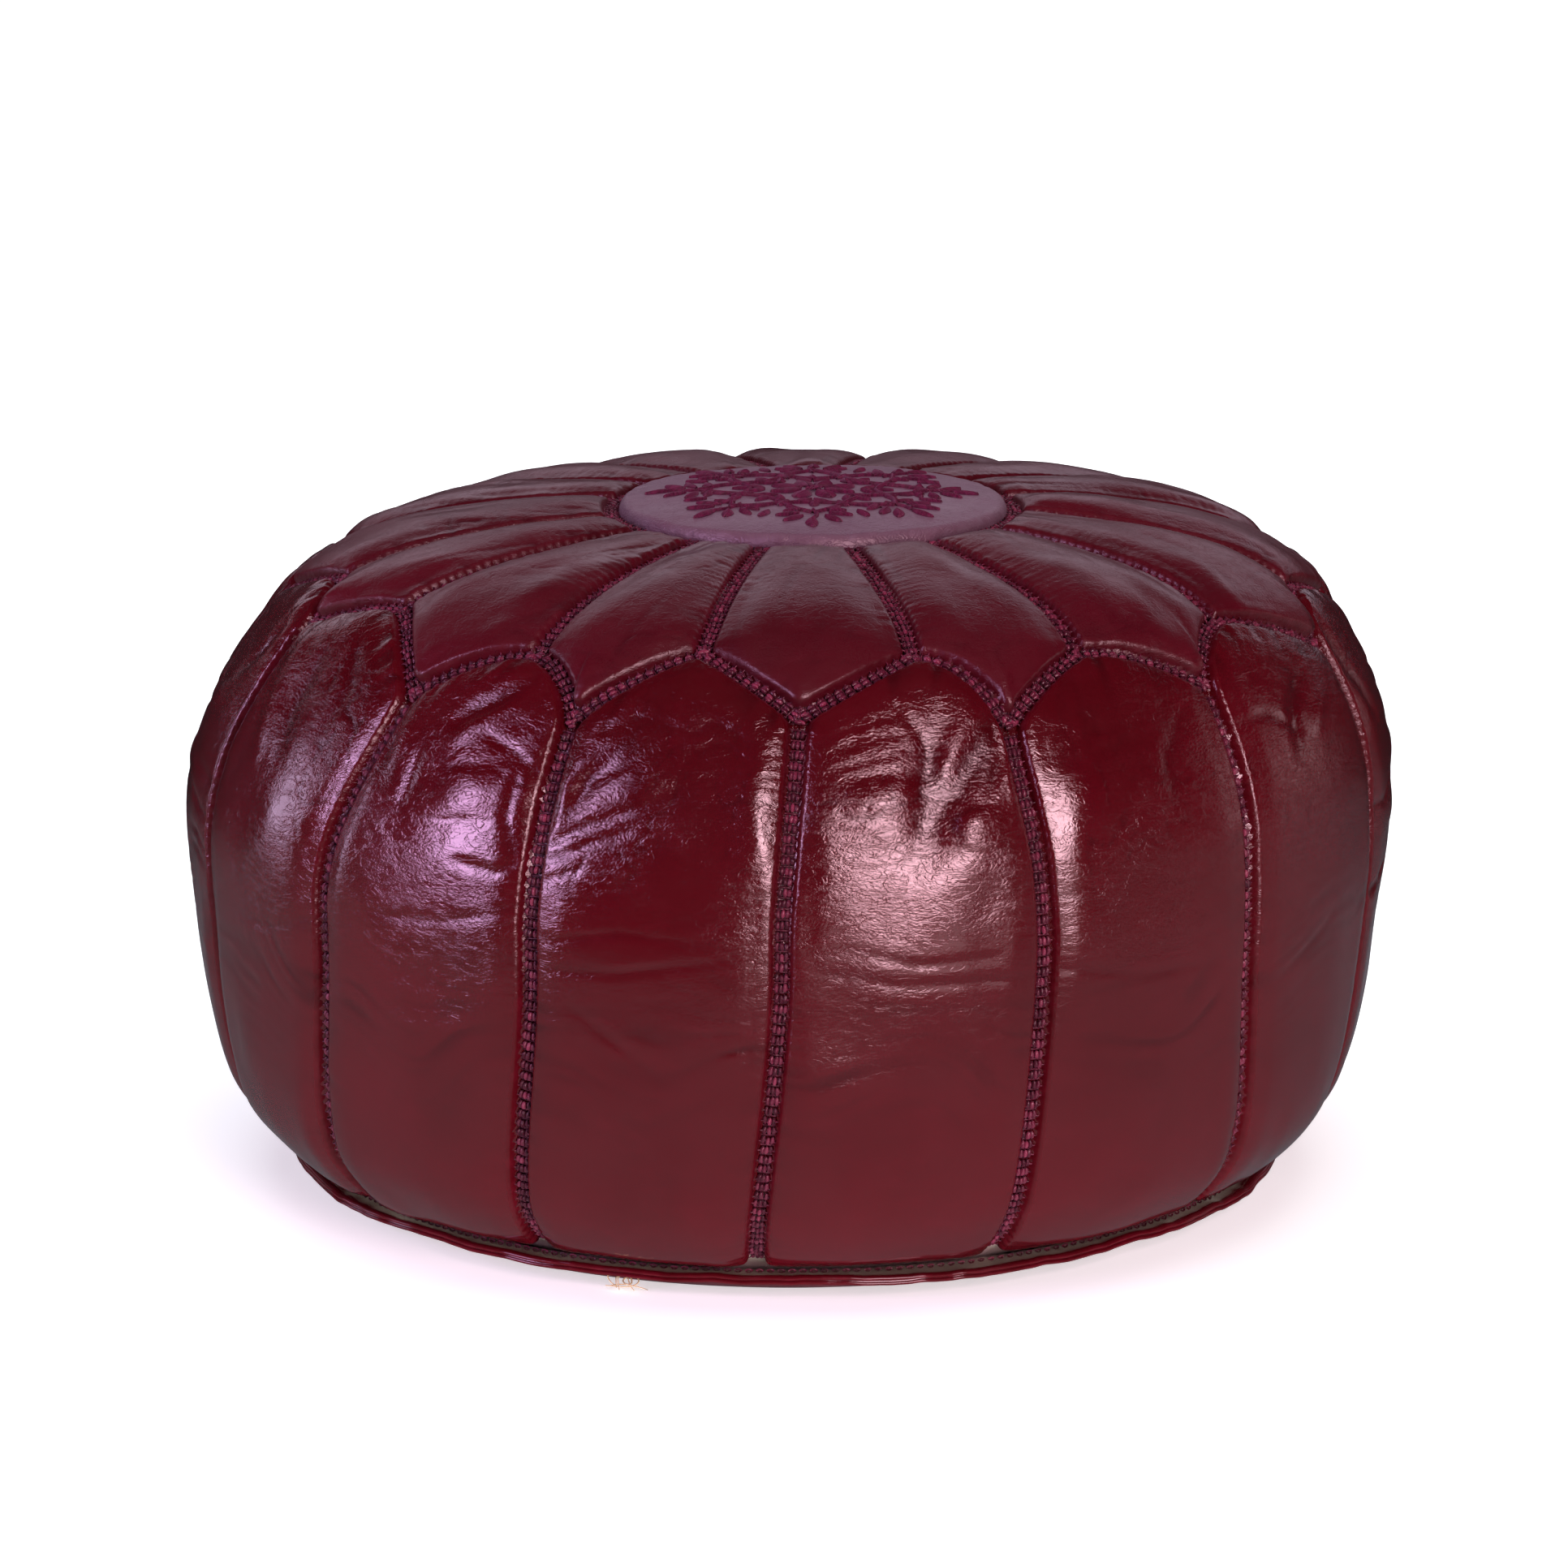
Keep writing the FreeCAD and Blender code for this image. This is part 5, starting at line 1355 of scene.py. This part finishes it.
def build_coil(sign, name, node):
    """Flattened spiral whose loops lock with those of the other side."""
    pitch = 1.5
    turns = int((160.0 + 151.5) / pitch)
    per = 14
    t = np.arange(turns * per + 1) / per
    x = -151.5 + t * pitch + (0.75 if sign < 0 else 0.0)
    x = np.minimum(x, 159.6)
    a = 2 * np.pi * t
    ca, sa = np.cos(a), np.sin(a)
    yc = 1.53 + splay(x)
    y = yc + 1.06 * np.sign(ca) * np.abs(ca) ** 0.8
    z = 11.0 + 0.82 * np.sign(sa) * np.abs(sa) ** 0.8
    v, q, tr = tube(np.stack([x, sign * y, z], 1), 0.33, 6)
    b = Builder()
    b.add(v, q, 0.3)
    b.f.append(tr)
    # filler cord running through the loops
    xs = np.arange(-151.0, 159.5, 3.0)
    add_tube(b, np.stack([xs, sign * (1.53 + splay(xs)), np.full_like(xs, 11.0)], 1), 0.42, 8)
    o = b.build(name, COIL)
    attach(o, "pouf")
    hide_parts(node)


build_coil(1, "zip_coil_spiral_back", "zip_coil_back")
build_coil(-1, "zip_coil_spiral_front", "zip_coil_front")
for n_ in ("zip_bottom_stop", "zip_top_stops", "zip_slider", "zip_pull"):
    me = NODES[n_].data
    me.materials.clear()
    me.materials.append(BRASS)


# ------------------------------------------------------------------ lining bag and rag filling (inside)
def cotton_material(name, a, b_, scale=520.0):
    m = Mat(name)
    weave = m.math("MULTIPLY", m.wave(scale, 0.6, "X"), m.wave(scale, 0.6, "Z"))
    col = m.mix(m.remap(m.noise(14.0, 4.0), 0.35, 0.65, 0, 1), rgba(*a), rgba(*b_))
    m.set("Base Color", m.mix(m.remap(weave, 0, 1, 0, 0.3), col, rgba(a[0] * 0.6, a[1] * 0.6, a[2] * 0.6)))
    m.set("Roughness", m.remap(m.noise(80.0), 0.3, 0.7, 0.8, 0.95))
    m.set("Sheen Weight", 0.2)
    m.set("Normal", m.bump(weave, 0.4, 0.0003, m.bump(m.noise(60.0, 5.0), 0.4, 0.003)))
    return m.m


COTTON = cotton_material("lining_cotton", (0.46, 0.40, 0.30), (0.58, 0.52, 0.42))


def rag_material():
    m = Mat("filling_rags")
    k = m.voronoi(24.0, "F1", None, "Color")
    sep = m.n("ShaderNodeSeparateColor")
    m.put(sep.inputs[0], k)
    col = m.ramp(sep.outputs[0], [(0.0, rgba(0.16, 0.15, 0.15)), (0.25, rgba(0.36, 0.30, 0.24)), (0.5, rgba(0.10, 0.14, 0.20)),
                                  (0.75, rgba(0.42, 0.40, 0.36)), (1.0, rgba(0.24, 0.08, 0.07))])
    m.set("Base Color", m.mix(m.remap(m.noise(300.0), 0.3, 0.7, 0, 0.5), col, rgba(0.2, 0.18, 0.17)))
    m.set("Roughness", m.remap(m.noise(80.0), 0.3, 0.7, 0.8, 0.95))
    m.set("Normal", m.bump(m.voronoi(24.0, "SMOOTH_F1"), 0.8, 0.01, m.bump(m.noise(500.0), 0.4, 0.0005)))
    return m.m


RAGS = rag_material()


def bag(name, node, offset, bottom, chan_z, chan_y, lump, seed, mat, shell=0.0):
    """Closed sack inside the leather, with a channel pressed in over the zip."""
    s_end = s_at_radius(70.0)
    ss = np.linspace(32.0, s_end, 60)
    e = 0.5
    dr, dz = _prof_r(ss + e) - _prof_r(ss - e), _prof_z(ss + e) - _prof_z(ss - e)
    n_ = np.hypot(dr, dz)
    rad = list(_prof_r(ss) - offset * dz / n_)
    zz = list(_prof_z(ss) + offset * dr / n_)
    lx = list(_lean(ss))
    # a ring list from the middle of the bottom, out, up and back to the middle of the top
    rb = [0.5, 30, 60, 90, 120, 145, 165, 180, 192 - offset, 200 - offset]
    R = rb + [206 - offset, 212 - offset] + rad + [45.0, 20.0, 0.5]
    Z = [bottom] * len(rb) + [bottom + 2.6, bottom + 6.5] + zz + [zz[-1]] * 3
    LX = [0.0] * (len(rb) + 2) + lx + [lx[-1]] * 3
    R, Z, LX = map(np.array, (R, Z, LX))
    nt = 192
    th = np.arange(nt) * 2 * np.pi / nt
    T, Rr = np.meshgrid(th, R, indexing="ij")
    Zz = np.broadcast_to(Z, Rr.shape).copy()
    x, y = Rr * np.sin(T) + LX[None, :], -Rr * np.cos(T)
    under = Zz < 30
    arc = T * 230.0
    w = 0.5 * (noise(x / 30.0, y / 30.0 + Zz / 22.0, seed) + 0.6 * noise(x / 13.0 + Zz / 11.0, y / 13.0, seed + 1))
    lumpn = -np.abs(w) * lump
    cx, cz = LX[None, :], 150.0
    dirx, diry, dirz = x - cx, y, Zz - cz
    ln = np.sqrt(dirx ** 2 + diry ** 2 + dirz ** 2) + 1e-6
    x, y, Zz = x + dirx / ln * lumpn, y + diry / ln * lumpn, Zz + dirz / ln * lumpn
    chan = smooth((chan_y + 8.0 - np.abs(y)) / 8.0)
    Zz = np.where(under, np.maximum(Zz, bottom) * (1 - chan) + np.maximum(Zz, chan_z) * chan, Zz)
    v = np.stack([x, y, Zz], -1)
    faces = [grid_quads(nt, len(R), wrap_u=True)]
    verts = v.reshape(-1, 3)
    c0 = len(verts)
    verts = np.concatenate([verts, [[1.0, 0, float(v[:, 0, 2].mean())], [LX[-1], 0, float(v[:, -1, 2].mean())]]])
    i = np.arange(nt)
    faces.append(np.concatenate([np.stack([np.full(nt, c0), i * len(R), ((i + 1) % nt) * len(R)], 1),
                                 np.stack([np.full(nt, c0 + 1), ((i + 1) % nt) * len(R) + len(R) - 1, i * len(R) + len(R) - 1], 1)]))
    o = make_mesh(name, verts, faces, material=mat)
    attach(o, "pouf")
    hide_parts(node)
    return o


bag("lining_bag", "lining", 9.6, 3.2, 16.5, 40.0, 0.9, 71, COTTON)
bag("filling_bundle", "filling", 12.6, 5.6, 19.5, 42.0, 5.0, 81, RAGS)


# ------------------------------------------------------------------ loose thread ends at the base
def loose_ends():
    rng = np.random.RandomState(12)
    b = Builder()
    for i in range(7):
        th0 = math.radians(-19.0 + rng.uniform(-1.6, 1.6))
        r0 = 211.0
        n_ = 16
        t = np.linspace(0, 1, n_)
        bend = rng.uniform(-1, 1, 3)
        ln = rng.uniform(9.0, 15.0)
        r = r0 + ln * t * 0.72
        th = th0 + np.radians(1.6 * bend[0] * t + 1.5 * bend[1] * np.sin(t * 4))
        z = 5.2 - 3.2 * t + 1.8 * bend[2] * np.sin(t * 3.0) * 0.6 + 0.6 * np.sin(6 * t + i)
        z = np.maximum(z, 0.7)
        add_tube(b, np.stack([r * np.sin(th), -r * np.cos(th), z], 1), np.linspace(0.42, 0.2, n_), 5,
                 tone_and_painted_light=rng.uniform(0, 1))
    o = b.build("thread_ends", BEIGE)
    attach(o, "pouf")


loose_ends()


# ------------------------------------------------------------------ stage, light, camera
def plane(name, sx, sy, loc, seg=1):
    me = bpy.data.meshes.new(name)
    me.from_pydata([(-sx, -sy, 0), (sx, -sy, 0), (sx, sy, 0), (-sx, sy, 0)], [], [(0, 1, 2, 3)])
    o = bpy.data.objects.new(name, me)
    o.location = loc
    bpy.context.scene.collection.objects.link(o)
    return o


CAM_LIFT = 0.52      # lift of the floor towards white for the direct view
GLOSS_FLOOR = 0.125
SHEET_BOUNCE = 3.3


def floor_material():
    m = bpy.data.materials.new("floor")
    m.use_nodes = True
    m.cycles.emission_sampling = "NONE"
    t = m.node_tree
    t.nodes.clear()
    out = t.nodes.new("ShaderNodeOutputMaterial")
    lp = t.nodes.new("ShaderNodeLightPath")
    geo = t.nodes.new("ShaderNodeNewGeometry")
    dif = t.nodes.new("ShaderNodeBsdfDiffuse")
    dif.inputs[0].default_value = (0.78, 0.88, 0.88, 1)
    em = t.nodes.new("ShaderNodeEmission")
    em.inputs[0].default_value = (1, 1, 1, 1)
    far = t.nodes.new("ShaderNodeVectorMath")
    far.operation = "LENGTH"
    t.links.new(geo.outputs["Position"], far.inputs[0])
    fr = t.nodes.new("ShaderNodeMapRange")
    fr.inputs[1].default_value, fr.inputs[2].default_value = 0.45, 1.3
    fr.inputs[3].default_value, fr.inputs[4].default_value = CAM_LIFT, 1.0
    t.links.new(far.outputs["Value"], fr.inputs[0])
    t.links.new(fr.outputs[0], em.inputs[1])
    add = t.nodes.new("ShaderNodeAddShader")
    t.links.new(dif.outputs[0], add.inputs[0])
    t.links.new(em.outputs[0], add.inputs[1])
    # what the leather mirrors: a white sheet that ends a little in front of the object, and dark beyond
    sep = t.nodes.new("ShaderNodeSeparateXYZ")
    t.links.new(geo.outputs["Position"], sep.inputs[0])
    rng = t.nodes.new("ShaderNodeMapRange")
    rng.inputs[1].default_value = -0.61
    rng.inputs[2].default_value = -0.57
    t.links.new(sep.outputs[1], rng.inputs[0])
    em2 = t.nodes.new("ShaderNodeEmission")
    em2.inputs[0].default_value = (0.95, 0.88, 1.0, 1)
    mul = t.nodes.new("ShaderNodeMath")
    mul.operation = "MULTIPLY_ADD"
    mul.inputs[1].default_value = GLOSS_FLOOR
    mul.inputs[2].default_value = 0.012
    back = t.nodes.new("ShaderNodeMapRange")
    back.interpolation_type = "SMOOTHSTEP"
    back.inputs[1].default_value, back.inputs[2].default_value = 0.75, 0.25
    t.links.new(sep.outputs[1], back.inputs[0])
    both = t.nodes.new("ShaderNodeMath")
    both.operation = "MULTIPLY"
    t.links.new(rng.outputs[0], both.inputs[0])
    t.links.new(back.outputs[0], both.inputs[1])
    t.links.new(both.outputs[0], mul.inputs[0])
    t.links.new(mul.outputs[0], em2.inputs[1])
    # a soft rosy patch on the ground beyond the sheet, in front and to the right
    ratio = t.nodes.new("ShaderNodeMath")
    ratio.operation = "DIVIDE"
    t.links.new(sep.outputs[0], ratio.inputs[0])
    t.links.new(sep.outputs[1], ratio.inputs[1])
    masks = []
    for src, lo, hi in ((ratio.outputs[0], 0.10, -0.08), (ratio.outputs[0], -0.95, -0.60),
                        (sep.outputs[1], -0.62, -0.72), (sep.outputs[1], -2.6, -1.1)):
        q = t.nodes.new("ShaderNodeMapRange")
        q.interpolation_type = "SMOOTHSTEP"
        q.inputs[1].default_value, q.inputs[2].default_value = lo, hi
        t.links.new(src, q.inputs[0])
        masks.append(q.outputs[0])
    prod = masks[0]
    for q in masks[1:]:
        mu = t.nodes.new("ShaderNodeMath")
        mu.operation = "MULTIPLY"
        t.links.new(prod, mu.inputs[0])
        t.links.new(q, mu.inputs[1])
        prod = mu.outputs[0]
    sc = t.nodes.new("ShaderNodeMath")
    sc.operation = "MULTIPLY"
    sc.inputs[1].default_value = 1.1
    t.links.new(prod, sc.inputs[0])
    em3 = t.nodes.new("ShaderNodeEmission")
    em3.inputs[0].default_value = (1.0, 0.72, 0.78, 1)
    t.links.new(sc.outputs[0], em3.inputs[1])
    addg = t.nodes.new("ShaderNodeAddShader")
    t.links.new(em2.outputs[0], addg.inputs[0])
    t.links.new(em3.outputs[0], addg.inputs[1])
    # light bounced from the sheet onto the lower sides
    bounce = t.nodes.new("ShaderNodeMath")
    bounce.operation = "MULTIPLY_ADD"
    bounce.inputs[1].default_value = SHEET_BOUNCE
    bounce.inputs[2].default_value = 0.15
    t.links.new(rng.outputs[0], bounce.inputs[0])
    em4 = t.nodes.new("ShaderNodeEmission")
    em4.inputs[0].default_value = (1.0, 0.97, 0.98, 1)
    t.links.new(bounce.outputs[0], em4.inputs[1])
    mixd = t.nodes.new("ShaderNodeMixShader")
    t.links.new(lp.outputs["Is Diffuse Ray"], mixd.inputs[0])
    t.links.new(add.outputs[0], mixd.inputs[1])
    t.links.new(em4.outputs[0], mixd.inputs[2])
    mixg = t.nodes.new("ShaderNodeMixShader")
    t.links.new(lp.outputs["Is Glossy Ray"], mixg.inputs[0])
    t.links.new(mixd.outputs[0], mixg.inputs[1])
    t.links.new(addg.outputs[0], mixg.inputs[2])
    tr = t.nodes.new("ShaderNodeBsdfTransparent")
    mixb = t.nodes.new("ShaderNodeMixShader")
    t.links.new(geo.outputs["Backfacing"], mixb.inputs[0])
    t.links.new(mixg.outputs[0], mixb.inputs[1])
    t.links.new(tr.outputs[0], mixb.inputs[2])
    t.links.new(mixb.outputs[0], out.inputs[0])
    return m


floor = plane("floor", 14.0, 14.0, (0, 0, -0.0006))
floor.data.materials.append(floor_material())

world = bpy.data.worlds.new("studio")
bpy.context.scene.world = world
world.use_nodes = True
wt = world.node_tree
wt.nodes.clear()
wo = wt.nodes.new("ShaderNodeOutputWorld")
lp = wt.nodes.new("ShaderNodeLightPath")
bg_cam = wt.nodes.new("ShaderNodeBackground")
bg_cam.inputs[0].default_value = (1, 1, 1, 1)
bg_cam.inputs[1].default_value = 1.05
bg_ref = wt.nodes.new("ShaderNodeBackground")
tc = wt.nodes.new("ShaderNodeTexCoord")
sp = wt.nodes.new("ShaderNodeSeparateXYZ")
wt.links.new(tc.outputs["Generated"], sp.inputs[0])
# bright card behind the object, dark room in front
mr = wt.nodes.new("ShaderNodeMapRange")
mr.interpolation_type = "SMOOTHSTEP"
mr.inputs[1].default_value, mr.inputs[2].default_value = 0.60, 0.85
mr.inputs[3].default_value, mr.inputs[4].default_value = 0.0, 1.0
wt.links.new(sp.outputs[1], mr.inputs[0])
mz = wt.nodes.new("ShaderNodeMapRange")
mz.interpolation_type = "SMOOTHSTEP"
mz.inputs[1].default_value, mz.inputs[2].default_value = 0.56, 0.40
mz.inputs[3].default_value, mz.inputs[4].default_value = 0.0, 1.0
wt.links.new(sp.outputs[2], mz.inputs[0])
ml = wt.nodes.new("ShaderNodeMapRange")
ml.interpolation_type = "SMOOTHSTEP"
ml.inputs[1].default_value, ml.inputs[2].default_value = 0.20, 0.27
wt.links.new(sp.outputs[2], ml.inputs[0])
m0 = wt.nodes.new("ShaderNodeMath")
m0.operation = "MULTIPLY"
wt.links.new(mr.outputs[0], m0.inputs[0])
wt.links.new(ml.outputs[0], m0.inputs[1])
mm = wt.nodes.new("ShaderNodeMath")
mm.operation = "MULTIPLY"
wt.links.new(m0.outputs[0], mm.inputs[0])
wt.links.new(mz.outputs[0], mm.inputs[1])
ma = wt.nodes.new("ShaderNodeMath")
ma.operation = "MULTIPLY_ADD"
ma.inputs[1].default_value = 0.72
ma.inputs[2].default_value = 0.012
wt.links.new(mm.outputs[0], ma.inputs[0])
bg_ref.inputs[0].default_value = (0.98, 0.80, 0.97, 1)
wt.links.new(ma.outputs[0], bg_ref.inputs[1])
mx = wt.nodes.new("ShaderNodeMixShader")
wt.links.new(lp.outputs["Is Camera Ray"], mx.inputs[0])
wt.links.new(bg_ref.outputs[0], mx.inputs[1])
wt.links.new(bg_cam.outputs[0], mx.inputs[2])
wt.links.new(mx.outputs[0], wo.inputs[0])


def area(name, loc, target, size, power, colour, size_y=None, spread=180.0, gloss=True):
    l = bpy.data.lights.new(name, "AREA")
    l.shape = "RECTANGLE"
    l.size, l.size_y = size, size_y or size
    l.energy = power
    l.color = colour
    l.spread = math.radians(spread)
    o = bpy.data.objects.new(name, l)
    o.location = loc
    d = Vector(target) - Vector(loc)
    o.rotation_euler = d.to_track_quat("-Z", "Y").to_euler()
    o.visible_camera = False
    o.visible_glossy = gloss
    bpy.context.scene.collection.objects.link(o)
    return o



area("key_left", (-2.35, -1.45, 1.0), (0, 0, 0.2), 0.85, 42, (0.95, 0.56, 1.0), 1.5)
area("key_right", (1.0, -2.45, 0.98), (0, 0, 0.2), 1.0, 82, (1.0, 0.60, 0.69), 1.8)
area("rim_left", (-2.7, 0.7, 0.55), (0, 0, 0.15), 0.7, 7, (0.88, 0.66, 1.0), 1.0)
area("rim_right", (2.7, 0.6, 0.55), (0, 0, 0.15), 0.7, 2, (1.0, 0.74, 0.80), 1.0)
area("fill_top", (0.0, 0.1, 3.2), (0, 0, 0.0), 3.4, 92, (1.0, 0.99, 1.0), 3.4, gloss=False)

cam_d = bpy.data.cameras.new("camera")
cam = bpy.data.objects.new("camera", cam_d)
bpy.context.scene.collection.objects.link(cam)
cam.location = (-0.002, -2.379, 0.746)
cam.rotation_euler = (math.radians(90 - 13.72), 0, 0)
cam_d.sensor_width = 36.0
cam_d.lens = 127.3
cam_d.clip_start, cam_d.clip_end = 0.05, 60.0
bpy.context.scene.camera = cam
bpy.context.scene.view_settings.view_transform = "Standard"
bpy.context.scene.view_settings.look = "None"
bpy.context.scene.view_settings.exposure = 0.0
bpy.context.scene.view_settings.gamma = 1.0
